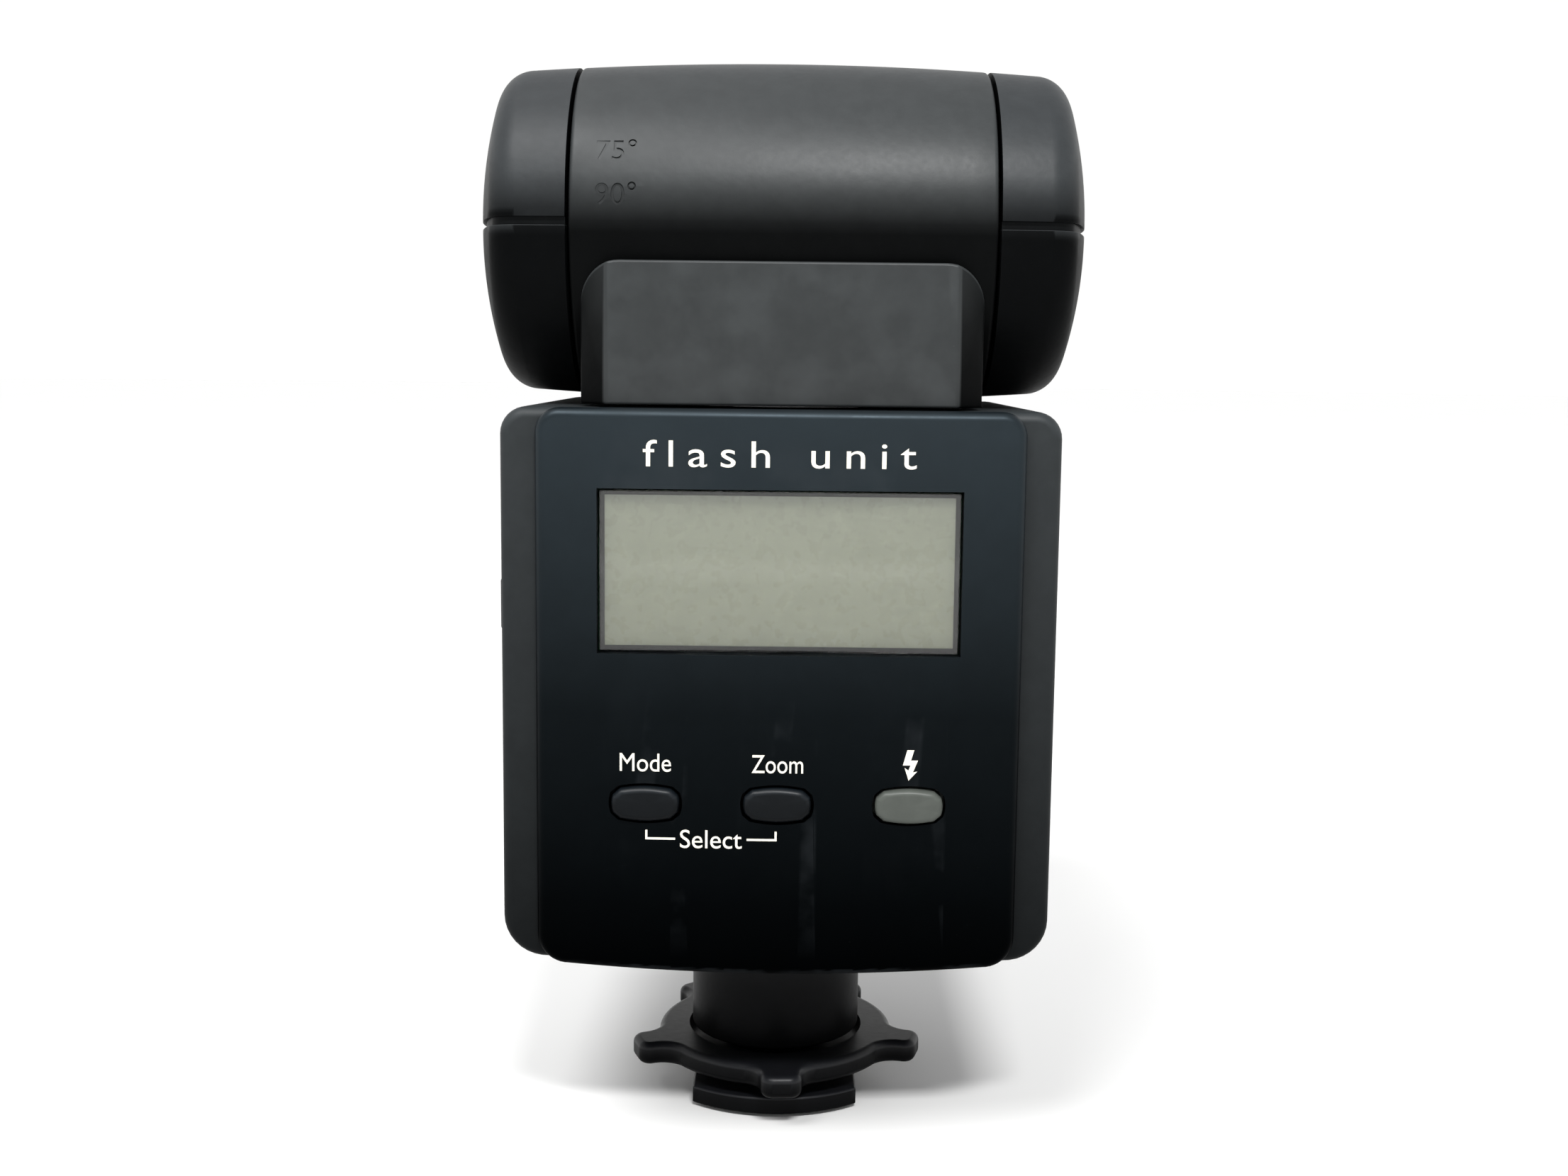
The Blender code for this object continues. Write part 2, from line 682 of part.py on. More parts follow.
def make_power_parts():
    """Cells and their holder, the capacitor, the boards and the inverter's transformer."""
    for i, (x, y) in enumerate(CELL_PLACES, 1):
        top = CELL_LENGTH + (NIPPLE_LENGTH if i % 2 else 0)
        profile = [(2.6, top), (2.6, CELL_LENGTH), (CELL_RADIUS, CELL_LENGTH), (CELL_RADIUS, 0)]
        if i % 2 == 0:
            profile = profile[2:]
        turned(
            f"battery_cell_{i}", [(0, top)] + profile + [(0, 0)], (x, y, CELL_LOW), "cell"
        )
    holder = box("battery_holder", (-4.9, -9.6, 24.9), (25.9, 22.3, 74.0), "inner")
    cut(holder, box("cell_bay", (-3.3, -8.4, 20), (30, 21.1, 80)))
    box("battery_contacts_low", (-4.0, -8.0, 24.1), (24.0, 20.5, 24.5), "steel")
    box("battery_contacts_high", (-4.0, -8.0, 75.0), (24.0, 20.5, 75.4), "steel")
    rod("main_capacitor", (-16.6, 14, 50), "Z", 46, 9.2, "inner")
    box("power_board", (-6.8, -9, 29), (-5.4, 22, 72), "board")
    transformer = box("inverter_transformer", (-23, -12, 30), (-9, 0, 44), "inner", 0.5)
    waist = box("transformer_waist", (-30, -13, 33), (-21.5, 1, 41))
    waist_far = box("transformer_waist_far", (-10.5, -13, 33), (-5, 1, 41))
    cut(transformer, waist, waist_far)


def make_assist_lamp():
    """The focus-assist lamp behind its red window, low on the front."""
    back = BODY_FRONT - ASSIST_THICK
    box(
        "assist_window", (ASSIST_LOW[0], back, ASSIST_LOW[1]),
        (ASSIST_HIGH[0], BODY_FRONT, ASSIST_HIGH[1]), "red_clear", 0.4,
    )
    box(
        "assist_lamp", (ASSIST_LOW[0] + 4, back - 1.0, ASSIST_LOW[1] + 2),
        (ASSIST_HIGH[0] - 4, back - GAP, ASSIST_HIGH[1] - 2), "clear", 0.1,
    )


def make_screws(name, places, head_low, head_radius, length):
    """Upright screws, head down, at each (x, y)."""
    head_high = head_low + SCREW_HEAD_THICK
    shank = head_radius * SHANK_SHARE
    profile = [
        (0, head_low + length),
        (shank, head_low + length),
        (shank, head_high),
        (head_radius, head_high),
        (head_radius, head_low),
        (0, head_low),
    ]
    return [
        turned(f"{name}_{i}", profile, (x, y, 0), "steel") for i, (x, y) in enumerate(places, 1)
    ]


def screw_holes(name, places, seat, radius):
    """A counterbore up to the seat, and a through hole, for each screw."""
    holes = []
    for i, (x, y) in enumerate(places, 1):
        wide = radius + GAP
        thin = radius * SHANK_SHARE + GAP
        holes.append(rod(f"{name}_{i}_seat", (x, y, seat - 3), "Z", 6, wide, sides=20))
        holes.append(rod(f"{name}_{i}_hole", (x, y, seat), "Z", 8, thin, sides=20))
    return holes


def crown(x):
    """How far the barrel's surface is from the tilt axis, at x."""
    return BARREL_RADIUS - CROWN_RADIUS + math.sqrt(CROWN_RADIUS**2 - x**2)


def barrel(name, half, inset, look=None, steps=8):
    xs = [half - 2 * half * i / steps for i in range(steps + 1)]
    profile = [(0, half)] + [(crown(x) - inset, x) for x in xs] + [(0, -half)]
    return turned(name, profile, (0, AXIS_Y, AXIS_Z), look, "X")


def half_space(name, axis, side):
    """A big block on one side of the tilt axis, short of it by half a seam."""
    low = [-50, -60, 40]
    high = [50, 90, 160]
    middle = AXIS_Z if axis == 2 else AXIS_Y
    if side > 0:
        low[axis] = middle + SEAM_HALF
    else:
        high[axis] = middle - SEAM_HALF
    return box(name, low, high)


def seam_groove(name, core):
    """The band round a core at the seam, to be cut away."""
    band = box(name, (-50, -60, AXIS_Z - GROOVE_HALF), (50, 90, AXIS_Z + GROOVE_HALF))
    return cut(band, core)


def neck_column():
    """The plain column from the body's deck to just under the tilt axis, chamfered behind."""
    corners = [
        (NECK_HALF, NECK_LOW, 0), (NECK_HALF, NECK_HIGH, 4.2),
        (-NECK_HALF, NECK_HIGH, 4.2), (-NECK_HALF, NECK_LOW, 0),
    ]
    column = prism("neck_column", rounded(corners, 6), "Y", NECK_REAR, NECK_FRONT)
    flat = NECK_HALF - NECK_CHAMFER
    plan = [
        (-NECK_HALF, NECK_FRONT + 1), (-NECK_HALF, NECK_REAR + NECK_CHAMFER),
        (-flat, NECK_REAR), (flat, NECK_REAR),
        (NECK_HALF, NECK_REAR + NECK_CHAMFER), (NECK_HALF, NECK_FRONT + 1),
    ]
    combine(column, "INTERSECT", prism("neck_plan", plan, "Z", 70, 110))
    return column


def make_neck(swivel):
    """Front and rear shells round the tilt axle, clamped on a hub that swivels in the deck."""
    column = neck_column()
    disc = rod("neck_disc", (0, AXIS_Y, (NECK_LOW + DISC_HIGH) / 2), "Z", DISC_HIGH - NECK_LOW, 17.5)
    cutters = [
        barrel("barrel_hollow", BARREL_HALF - WALL, WALL),
        rod("axle_hole", (0, AXIS_Y, AXIS_Z), "X", 50, AXLE_RADIUS + GAP),
        box(
            "column_hollow", (2.2 - NECK_HALF, NECK_REAR + 2.4, 81.5),
            (NECK_HALF - 2.2, NECK_FRONT - 3, NECK_HIGH - 2),
        ),
        rod("hub_room", (0, AXIS_Y, 82.3), "Z", 1.6, 13.6),
        rod("hub_hole", (0, AXIS_Y, 80), "Z", 8, HUB_RADIUS + GAP),
    ]
    shells = []
    for name, side in (("neck_rear_shell", -1), ("neck_front_shell", 1)):
        shell = barrel(name, BARREL_HALF, 0, "casing")
        join(shell, column, disc)
        combine(shell, "INTERSECT", half_space(name + "_side", 1, side))
        cut(shell, *cutters)
        shells.append(shell)

    hub = turned(
        "swivel_hub",
        [(13.2, 82.8), (13.2, 81.8), (HUB_RADIUS, 81.8), (HUB_RADIUS, 75.9),
         (HUB_BORE, 75.9), (HUB_BORE, 82.8)],
        (0, AXIS_Y, 0), "steel",
    )
    ring = tube("retaining_ring", (0, AXIS_Y, 76.8), "Z", 1.0, 15.0, HUB_RADIUS + GAP, "steel")
    axle = tube("tilt_axle", (0, AXIS_Y, AXIS_Z), "X", 52, AXLE_RADIUS, 3.2, "steel")
    attach(swivel, *shells, hub, ring, axle)


def circles_meet(near, near_radius, far, far_radius):
    """The crossing of two circles that lies to the right of the line from far to near."""
    gap = near - far
    along = (far_radius**2 - near_radius**2 + gap.length_squared) / (2 * gap.length)
    across = math.sqrt(far_radius**2 - along**2)
    unit = gap.normalized()
    return far + unit * along + Vector((unit.y, -unit.x)) * across


def head_curve(inset):
    """(x, height) points from one cheek over the top to the other."""
    cheek = Vector((CHEEK_MAX - CHEEK_RADIUS, 0))
    top = Vector((0, BARREL_RADIUS - CROWN_RADIUS))
    corner = circles_meet(cheek, CHEEK_RADIUS - CORNER_RADIUS, top, CROWN_RADIUS - CORNER_RADIUS)
    leave = math.degrees((corner - cheek).angle_signed(Vector((1, 0))))
    join_top = math.degrees((corner - top).angle_signed(Vector((1, 0))))
    right = arc(cheek, CHEEK_RADIUS - inset, 0, leave, 4)
    right += arc(corner, CORNER_RADIUS - inset, leave, join_top, 4)[1:]
    right += arc(top, CROWN_RADIUS - inset, join_top, 90, 3)[1:]
    return right + [(-x, height) for x, height in reversed(right[:-1])]


def head_solid(name, inset, front, look=None, steps=16):
    """The head's curve turned half round behind the tilt axis, and drawn out in front of it."""
    bm = bmesh.new()
    centre = Vector((0, AXIS_Y, AXIS_Z)) * MM
    curve = [bm.verts.new(centre + Vector((x, 0, height)) * MM) for x, height in head_curve(inset)]
    edges = [bm.edges.new(pair) for pair in zip(curve, curve[1:])]
    turn = bmesh.ops.spin(
        bm, geom=curve + edges, cent=centre, axis=(1, 0, 0), angle=math.pi, steps=steps
    )
    last = [item for item in turn["geom_last"] if isinstance(item, bmesh.types.BMEdge)]
    for row in (edges, last):
        made = bmesh.ops.extrude_edge_only(bm, edges=row)["geom"]
        ends = [item for item in made if isinstance(item, bmesh.types.BMVert)]
        bmesh.ops.translate(bm, verts=ends, vec=(0, (front - AXIS_Y) * MM, 0))
    bmesh.ops.remove_doubles(bm, verts=bm.verts, dist=0.000001)
    bmesh.ops.dissolve_degenerate(bm, edges=bm.edges, dist=0.000001)
    rim = [edge for edge in bm.edges if edge.is_boundary]
    bmesh.ops.holes_fill(bm, edges=rim, sides=0)
    bmesh.ops.recalc_face_normals(bm, faces=bm.faces)
    mesh = bpy.data.meshes.new(name)
    bm.to_mesh(mesh)
    bm.free()
    return place(name, mesh, look)


def barrel_slot(name, half, grow):
    """The room for the barrel and the neck's disc, open behind, above and below."""
    radius = SLOT_RADIUS + grow
    opening = SLOT_OPENING + grow
    notch_y = NOTCH_REACH + grow
    notch_z = grow - NOTCH_DROP
    start = math.degrees(math.acos(opening / radius))
    end = -math.degrees(math.asin(-notch_z / radius))
    outline = arc((0, 0), radius, start, end, 14)
    outline += [(notch_y, notch_z), (notch_y, -40), (-40, -40), (-40, 40), (opening, 40)]
    places = [(AXIS_Y + y, AXIS_Z + z) for y, z in outline]
    return prism(name, places, "X", -half, half)


def head_cutters():
    """What is taken out of both head shells: hollow, barrel slot, axle holes and seam groove."""
    hollow = head_solid("head_hollow", WALL, HEAD_FRONT + 5)
    cut(hollow, barrel_slot("slot_wall", SLOT_HALF + 1.5, WALL))
    slot = barrel_slot("barrel_slot", SLOT_HALF, 0)
    axle = rod("head_axle_hole", (0, AXIS_Y, AXIS_Z), "X", 48.6, AXLE_RADIUS + GAP)
    groove = seam_groove("head_groove", head_solid("head_core", 0.6, HEAD_FRONT + 10))
    return [hollow, slot, axle, groove]


def head_outline():
    upper = head_curve(0)
    return [(x, AXIS_Z + h) for x, h in upper] + [(x, AXIS_Z - h) for x, h in reversed(upper[1:-1])]


def make_head(tilt):
    """Two head shells that part at the tilt axis, the front frame and the lens."""
    cutters = head_cutters()
    upper = head_solid("head_upper_shell", 0, HEAD_FRONT, "casing")
    combine(upper, "INTERSECT", half_space("head_above", 2, 1))
    cut(upper, *cutters)
    lower = head_solid("head_lower_shell", 0, HEAD_FRONT, "casing")
    combine(lower, "INTERSECT", half_space("head_below", 2, -1))
    holes = screw_holes("head_screw", HEAD_SCREWS, HEAD_SCREW_SEAT, HEAD_SCREW_HEAD)
    cut(lower, *cutters, *holes)
    head_low = HEAD_SCREW_SEAT - SCREW_HEAD_THICK - 0.15
    screws = make_screws(
        "head_screw", HEAD_SCREWS, head_low, HEAD_SCREW_HEAD, HEAD_SCREW_LENGTH
    )

    bezel = prism("front_bezel", head_outline(), "Y", HEAD_FRONT + GAP, BEZEL_FRONT, "casing")
    round_edges(bezel, 0.6)
    window = box("bezel_window", (-25.5, 50, AXIS_Z - 13.5), (25.5, 80, AXIS_Z + 13.5))
    cut(bezel, window)
    lens = box(
        "fresnel_lens", (-25.2, 61.2, AXIS_Z - 13.2), (25.2, 62.4, AXIS_Z + 13.2), "clear", 0.2
    )
    discs = [
        tube(f"hinge_disc_{side}", (x, AXIS_Y, AXIS_Z), "X", 1.2, 11, AXLE_RADIUS + GAP, "steel")
        for side, x in (("left", -24.8), ("right", 24.8))
    ]
    attach(tilt, upper, lower, bezel, lens, *discs, *screws)


def make_zoom(tilt):
    """The reflector and flash tube on a carriage, which a leadscrew draws back along a rod."""
    motor = rod("zoom_motor", (-ROD_X, 25.5, ROD_Z), "Y", 14.4, 3.4, "steel")
    guide = rod("guide_rod", (ROD_X, 40, ROD_Z), "Y", 39, 1.0, "steel", sides=20)
    coil = box("trigger_coil", (21.0, 22, AXIS_Z + 3), (26.5, 32, AXIS_Z + 11), "copper", 0.5)
    attach(tilt, motor, guide, coil)

    frame = box(
        "zoom_carriage", (-FRAME_HALF, CARRIAGE_REAR, AXIS_Z - 12.2),
        (FRAME_HALF, CARRIAGE_FRONT, AXIS_Z + 12.2), "inner",
    )
    room = box("reflector_room", (-18, 30, AXIS_Z - 10.8), (18, 70, AXIS_Z + 10.8))
    lug_low = CARRIAGE_FRONT - 4
    lugs = [
        box(f"carriage_lug_{side}", (low, lug_low, ROD_Z - 2.5), (high, CARRIAGE_FRONT, ROD_Z + 2.5))
        for side, low, high in (("left", -26.5, -19.0), ("right", 19.0, 26.5))
    ]
    bores = [
        rod(f"carriage_bore_{side}", (x, CARRIAGE_FRONT, ROD_Z), "Y", 20, 1.3, sides=20)
        for side, x in (("left", -ROD_X), ("right", ROD_X))
    ]
    join(frame, *lugs)
    cut(frame, room, *bores)

    focus = CARRIAGE_REAR + 2
    spread = 6.6
    heights = [9.8 * (i / 8 - 1) for i in range(17)]
    inner = [(focus + h * h / spread, AXIS_Z + h) for h in heights]
    outer = [(y - 1.2, z * 1.03 - AXIS_Z * 0.03) for y, z in reversed(inner)]
    reflector = prism("reflector", inner + outer, "X", -17, 17, "mirror")
    lamp = rod("flash_tube", (0, focus + 3.2, AXIS_Z), "X", 35.2, 1.6, "clear", sides=24)
    screw = rod("zoom_leadscrew", (-ROD_X, 46.4, ROD_Z), "Y", 26, 1.0, "brass", sides=20)
    travel = pivot("zoom_travel_axis", (0, CARRIAGE_REAR, AXIS_Z), tilt)
    attach(travel, frame, reflector, lamp)
    attach(pivot("leadscrew_axis", (-ROD_X, 46.4, ROD_Z), tilt), screw)


def main():
    make_foot()
    make_clamp()
    make_housings()
    make_rear_cover()
    make_buttons()
    make_power_switch()
    make_battery_door()
    make_power_parts()
    make_assist_lamp()
    swivel = pivot("swivel_axis", (0, AXIS_Y, NECK_LOW))
    make_neck(swivel)
    tilt = pivot("tilt_axis", (0, AXIS_Y, AXIS_Z), swivel)
    make_head(tilt)
    make_zoom(tilt)


main()
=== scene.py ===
import json
import math

import bmesh
import bpy
from mathutils import Matrix, Vector


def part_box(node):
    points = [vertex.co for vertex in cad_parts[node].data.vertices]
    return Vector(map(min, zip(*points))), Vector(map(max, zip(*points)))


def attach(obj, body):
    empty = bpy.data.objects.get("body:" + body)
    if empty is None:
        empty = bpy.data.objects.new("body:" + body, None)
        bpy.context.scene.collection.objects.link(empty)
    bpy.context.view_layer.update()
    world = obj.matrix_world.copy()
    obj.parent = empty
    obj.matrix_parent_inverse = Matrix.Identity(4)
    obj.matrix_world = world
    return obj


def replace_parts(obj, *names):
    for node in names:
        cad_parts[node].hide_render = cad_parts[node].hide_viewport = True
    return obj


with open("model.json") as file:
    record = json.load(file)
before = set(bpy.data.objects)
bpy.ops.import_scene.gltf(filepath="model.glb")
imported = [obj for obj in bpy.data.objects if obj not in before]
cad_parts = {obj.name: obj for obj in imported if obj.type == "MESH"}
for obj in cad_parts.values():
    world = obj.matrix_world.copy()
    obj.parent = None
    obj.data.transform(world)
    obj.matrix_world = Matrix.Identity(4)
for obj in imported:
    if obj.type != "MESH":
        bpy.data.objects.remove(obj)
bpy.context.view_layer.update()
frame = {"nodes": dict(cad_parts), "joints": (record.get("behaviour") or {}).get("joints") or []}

MM = 0.001


# ---- places, from the frame, in mm
def box_mm(node):
    low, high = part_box(node)
    return low / MM, high / MM


def joint_mm(name):
    joint = next(j for j in frame["joints"] if j["name"] == name)
    return Vector(joint["pos_m"]) / MM


AXIS = joint_mm("tilt")
COVER_LOW, COVER_HIGH = box_mm("rear_cover")
REAR_LOW, REAR_HIGH = box_mm("rear_housing")
FRONT_LOW, FRONT_HIGH = box_mm("front_housing")
HEAD_HIGH = box_mm("head_upper_shell")[1]
NECK_LOW, NECK_HIGH = box_mm("neck_rear_shell")
BEZEL_LOW, BEZEL_HIGH = box_mm("front_bezel")
LENS_LOW, LENS_HIGH = box_mm("fresnel_lens")
WINDOW_LOW, WINDOW_HIGH = box_mm("lcd_window")
DISPLAY_LOW, DISPLAY_HIGH = box_mm("lcd_module")
STEM_LOW, STEM_HIGH = box_mm("foot_stem")
WHEEL_LOW, WHEEL_HIGH = box_mm("locking_wheel")
RING_LOW, RING_HIGH = box_mm("clamp_ring")
FOOT_LOW, FOOT_HIGH = box_mm("foot_plate")
DOOR_LOW, DOOR_HIGH = box_mm("battery_door")
LATCH_LOW, LATCH_HIGH = box_mm("battery_latch")
SWITCH_LOW, SWITCH_HIGH = box_mm("power_switch")
ASSIST_LOW, ASSIST_HIGH = box_mm("assist_window")

BARREL_RADIUS = NECK_HIGH.z - AXIS.z
BARREL_HALF = NECK_HIGH.x
CROWN_RADIUS = 376.0
CHEEK_MAX = HEAD_HIGH.x
CHEEK_RADIUS = 48.0
CORNER_RADIUS = 3.5
SLOT_HALF = BARREL_HALF + 0.35
SLOT_OPENING = 6.0
NOTCH_REACH = 19.5
NOTCH_DROP = 13.0
SEAM_HALF = 0.42
HEAD_WALL = 1.7
LIP_INSET = 0.45
OPENING_HALF_X = LENS_HIGH.x + 0.25
OPENING_HALF_Z = LENS_HIGH.z - AXIS.z + 0.25
HUB_HOLE = 11.3
HUB_FLANGE = 13.6
AXLE_HOLE = 4.8
POST_RADIUS = 6.0
POST_HOLE = POST_RADIUS + 0.3
COVER_BOW = 420.0
CREAM = (0.80, 0.76, 0.66)
BODY_SCREWS = ["housing_screw_1", "housing_screw_2"]
SHOE_CONTACTS = ["centre_contact"] + [f"contact_pin_{i}" for i in range(1, 5)]


# ---- materials
class Graph:
    """The node tree of a material, or of a world, with short calls to add and link nodes."""

    def __init__(self, name, world=None):
        self.owner = world or bpy.data.materials.new(name)
        self.owner.use_nodes = True
        self.tree = self.owner.node_tree
        self.shader = self.tree.nodes["Background" if world else "Principled BSDF"]
        self.coords = self.add("ShaderNodeTexCoord", "Generated" if world else "Object")

    def put(self, socket, value):
        """Links a source to a socket, or sets its value; a colour has no alpha."""
        if isinstance(value, bpy.types.NodeSocket):
            self.tree.links.new(value, socket)
        else:
            socket.default_value = (*value, 1.0) if socket.type == "RGBA" else value

    def add(self, kind, out, inputs=None, **settings):
        """Adds a node with these settings and inputs, and returns one of its outputs."""
        node = self.tree.nodes.new(kind)
        for key, value in settings.items():
            setattr(node, key, value)
        for key, value in (inputs or {}).items():
            self.put(node.inputs[key], value)
        return node.outputs[out]

    def feed(self, socket, value):
        """Sets or links an input of the shader."""
        self.put(self.shader.inputs[socket], value)

    def along(self, axis, vector=None):
        """One part of a vector: by default of the shaded point in the object's frame, in metres."""
        return self.add("ShaderNodeSeparateXYZ", axis, {"Vector": vector or self.coords})

    def facing(self, low, middle, high):
        """A factor by how far the surface faces down, sideways or up in the object's own frame."""
        normal = self.add("ShaderNodeTexCoord", "Normal")
        place = self.step(self.along("Z", normal), -1.0, 1.0)
        return self.ramp(place, [(0.47, (low,) * 3), (0.50, (middle,) * 3), (0.64, (high,) * 3)])

    def scaled(self, colour, factor):
        """A colour multiplied by a grey factor."""
        inputs = {"Factor": 1.0, 6: colour, 7: factor}
        return self.add("ShaderNodeMix", 2, inputs, data_type="RGBA", blend_type="MULTIPLY")

    def stretched(self, scale, turn=0.0):
        """The coordinates scaled along each axis, and turned about Y by this many degrees."""
        inputs = {"Scale": scale, "Rotation": (0.0, math.radians(turn), 0.0)}
        return self.add("ShaderNodeMapping", "Vector", {**inputs, "Vector": self.coords})

    def noise(self, scale, detail=4.0, roughness=0.5, coords=None):
        inputs = {"Scale": scale, "Detail": detail, "Roughness": roughness}
        return self.add("ShaderNodeTexNoise", "Fac", {**inputs, "Vector": coords or self.coords})

    def cells(self, scale, feature="SMOOTH_F1"):
        inputs = {"Scale": scale, "Vector": self.coords}
        return self.add("ShaderNodeTexVoronoi", "Distance", inputs, feature=feature)

    def ramp(self, source, stops):
        out = self.add("ShaderNodeValToRGB", "Color", {"Fac": source})
        elements = out.node.color_ramp.elements
        while len(elements) < len(stops):
            elements.new(0.5)
        for element, (place, colour) in zip(elements, stops):
            element.position = place
            element.color = (*colour, 1.0)
        return out

    def span(self, source, low, high, start=0.0, end=1.0, shape="LINEAR"):
        """Maps start to end onto low to high."""
        return self.add("ShaderNodeMapRange", "Result", {
            "From Min": start, "From Max": end, "To Min": low, "To Max": high, "Value": source,
        }, interpolation_type=shape)

    def step(self, source, start, end, shape="LINEAR"):
        """0 up to start, 1 beyond end, and even between."""
        return self.span(source, 0.0, 1.0, start, end, shape)

    def maths(self, operation, first, second):
        return self.add("ShaderNodeMath", 0, {0: first, 1: second}, operation=operation)

    def mix(self, factor, first, second):
        inputs = {"Factor": factor, 6: first, 7: second}
        return self.add("ShaderNodeMix", 2, inputs, data_type="RGBA")

    def bump(self, height, strength, distance, normal=None):
        inputs = {"Strength": strength, "Distance": distance * MM, "Height": height}
        if normal:
            inputs["Normal"] = normal
        return self.add("ShaderNodeBump", "Normal", inputs)

    def finish(self, colour, roughness, normal=None):
        self.feed("Base Color", colour)
        self.feed("Roughness", roughness)
        if normal:
            self.feed("Normal", normal)
        return self.owner


def toned(colour, factor, lift=0.0):
    return tuple(part * factor + lift for part in colour)


def worn_edges(graph, amount):
    """1 on sharp outer edges and 0 elsewhere, broken up by noise."""
    pointed = graph.add("ShaderNodeNewGeometry", "Pointiness")
    edge = graph.span(pointed, 0.0, amount, 0.52, 0.60)
    patches = graph.step(graph.noise(180, 3), 0.45, 0.65)
    return graph.maths("MULTIPLY", edge, patches)


def moulded(name, colour, roughness, grain=0.5, depth=0.02, wear=0.35, scuffs=0.5, shade=1.0,
            fade=None, plate=None):
    """Moulded plastic: spark-erosion grain, specks of dust, fine scuffs and polished edges.

    Painted shade darkens the colour and weakens the reflection of faces that look sideways or down,
    the more so the larger shade is. fade holds the heights (mm) over which a painted shade lightens
    upwards, and plate a y beyond which a painted light on the neck's flat plate is full.
    """
    graph = Graph(name)
    light = toned(colour, 1.12, 0.0008)
    mottle = graph.step(graph.noise(420, 5, 0.65), 0.38, 0.64)
    base = graph.mix(mottle, colour, light)
    # Painted shade: faces that look sideways or down get a darker colour and a weaker reflection.
    painted_facing_shade = graph.facing(1.0 - 0.92 * shade, 1.0 - 0.84 * shade, 1.0)
    # Painted shade: darker towards the bottom, lightening between the fade heights.
    if fade:
        rise = graph.span(graph.along("Z"), 0.20, 1.0, fade[0] * MM, fade[1] * MM)
        painted_facing_shade = graph.maths("MULTIPLY", painted_facing_shade, rise)
    # Painted light: the neck's flat rear plate is lifted lighter than its facing alone would give.
    if plate:
        flat = graph.span(graph.along("Y"), 0.0, 0.80, (plate + 0.5) * MM, (plate + 0.2) * MM)
        painted_facing_shade = graph.maths("MAXIMUM", painted_facing_shade, flat)
    dust = graph.span(graph.noise(2600, 2, 0.8), 0.0, 0.30, 0.76, 0.83)
    base = graph.mix(dust, base, (0.16, 0.16, 0.155))
    base = graph.mix(worn_edges(graph, wear), base, toned(colour, 1.9, 0.006))
    base = graph.scaled(base, painted_facing_shade)
    rubbed = graph.step(graph.noise(260, 6, 0.72), 0.56, 0.72)
    rough = graph.span(rubbed, roughness, roughness - 0.05 * scuffs)
    fine = graph.span(graph.noise(1400, 2), -0.04, 0.04)
    rough = graph.maths("ADD", rough, fine)
    texture = graph.maths("ADD", graph.noise(3200 * grain, 3, 0.6), graph.cells(2400 * grain))
    normal = graph.bump(texture, 0.55, depth)
    graph.feed("Specular IOR Level", graph.maths("MULTIPLY", painted_facing_shade, 0.23))
    return graph.finish(base, rough, normal)


def satin_panel(name, colour):
    """The smoother rear panel, with hair scratches and finger grease; painted shade and a painted
    reflection make its colour and its reflection fall towards the bottom.
    """
    graph = Graph(name)
    hair = graph.noise(2300, 3, coords=graph.stretched((1.0, 1.0, 0.06), 24))
    scratches = graph.step(hair, 0.70, 0.78)
    patches = graph.step(graph.noise(90, 3), 0.52, 0.72)
    scratches = graph.maths("MULTIPLY", scratches, patches)
    low, high = COVER_LOW.z * MM, COVER_HIGH.z * MM
    height = graph.step(graph.along("Z"), low, high)
    # Painted shade and painted reflection: colour and reflection strength rise from the panel's
    # bottom to its top.
    painted_panel_shade = graph.ramp(height, [
        (0.0, (0.010,) * 3), (0.13, (0.035,) * 3), (0.47, (0.14,) * 3),
        (0.79, (0.48,) * 3), (1.0, (0.72,) * 3),
    ])
    light = toned(colour, 1.2)
    base = graph.mix(graph.step(graph.noise(300, 5), 0.38, 0.66), colour, light)
    base = graph.scaled(base, painted_panel_shade)
    base = graph.mix(graph.maths("MULTIPLY", scratches, 0.04), base, (0.04, 0.04, 0.045))
    dust = graph.span(graph.noise(2100, 2, 0.8), 0.0, 0.16, 0.78, 0.84)
    base = graph.mix(dust, base, (0.10, 0.10, 0.10))
    base = graph.mix(worn_edges(graph, 0.35), base, (0.016, 0.018, 0.020))
    graph.feed("Specular Tint", (0.70, 0.88, 1.0))
    grease = graph.span(graph.noise(75, 4, 0.7), 0.46, 0.36, 0.40, 0.66)
    rough = graph.maths("ADD", grease, graph.span(graph.noise(1800, 2), -0.03, 0.03))
    normal = graph.bump(graph.noise(3800, 2), 0.30, 0.010)
    normal = graph.bump(scratches, 0.10, 0.008, normal)
    graph.feed("Specular IOR Level", graph.maths("MULTIPLY", painted_panel_shade, 0.44))
    return graph.finish(base, rough, normal)


def display_glass(name):
    """The grey-green display cell: a painted shade that lightens it upwards, a painted shadow along
    its top edge, and faint cloudiness.
    """
    graph = Graph(name)
    low, high = DISPLAY_LOW.z * MM, DISPLAY_HIGH.z * MM
    height = graph.step(graph.along("Z"), low, high)
    # Painted shade lighter towards the top, then a painted shadow of the recess's upper wall along
    # the top edge.
    tone = graph.ramp(height, [
        (0.00, (0.235, 0.246, 0.180)),
        (0.55, (0.262, 0.275, 0.203)),
        (0.90, (0.300, 0.315, 0.245)),
        (0.965, (0.250, 0.265, 0.220)),
        (1.00, (0.110, 0.122, 0.120)),
    ])
    cloud = graph.span(graph.noise(150, 4), 0.0, 0.05, 0.3, 0.7)
    tone = graph.mix(cloud, tone, (0.30, 0.315, 0.25))
    rough = graph.span(graph.noise(900, 3), 0.22, 0.34)
    normal = graph.bump(graph.noise(5200, 2), 0.12, 0.004)
    return graph.finish(tone, rough, normal)


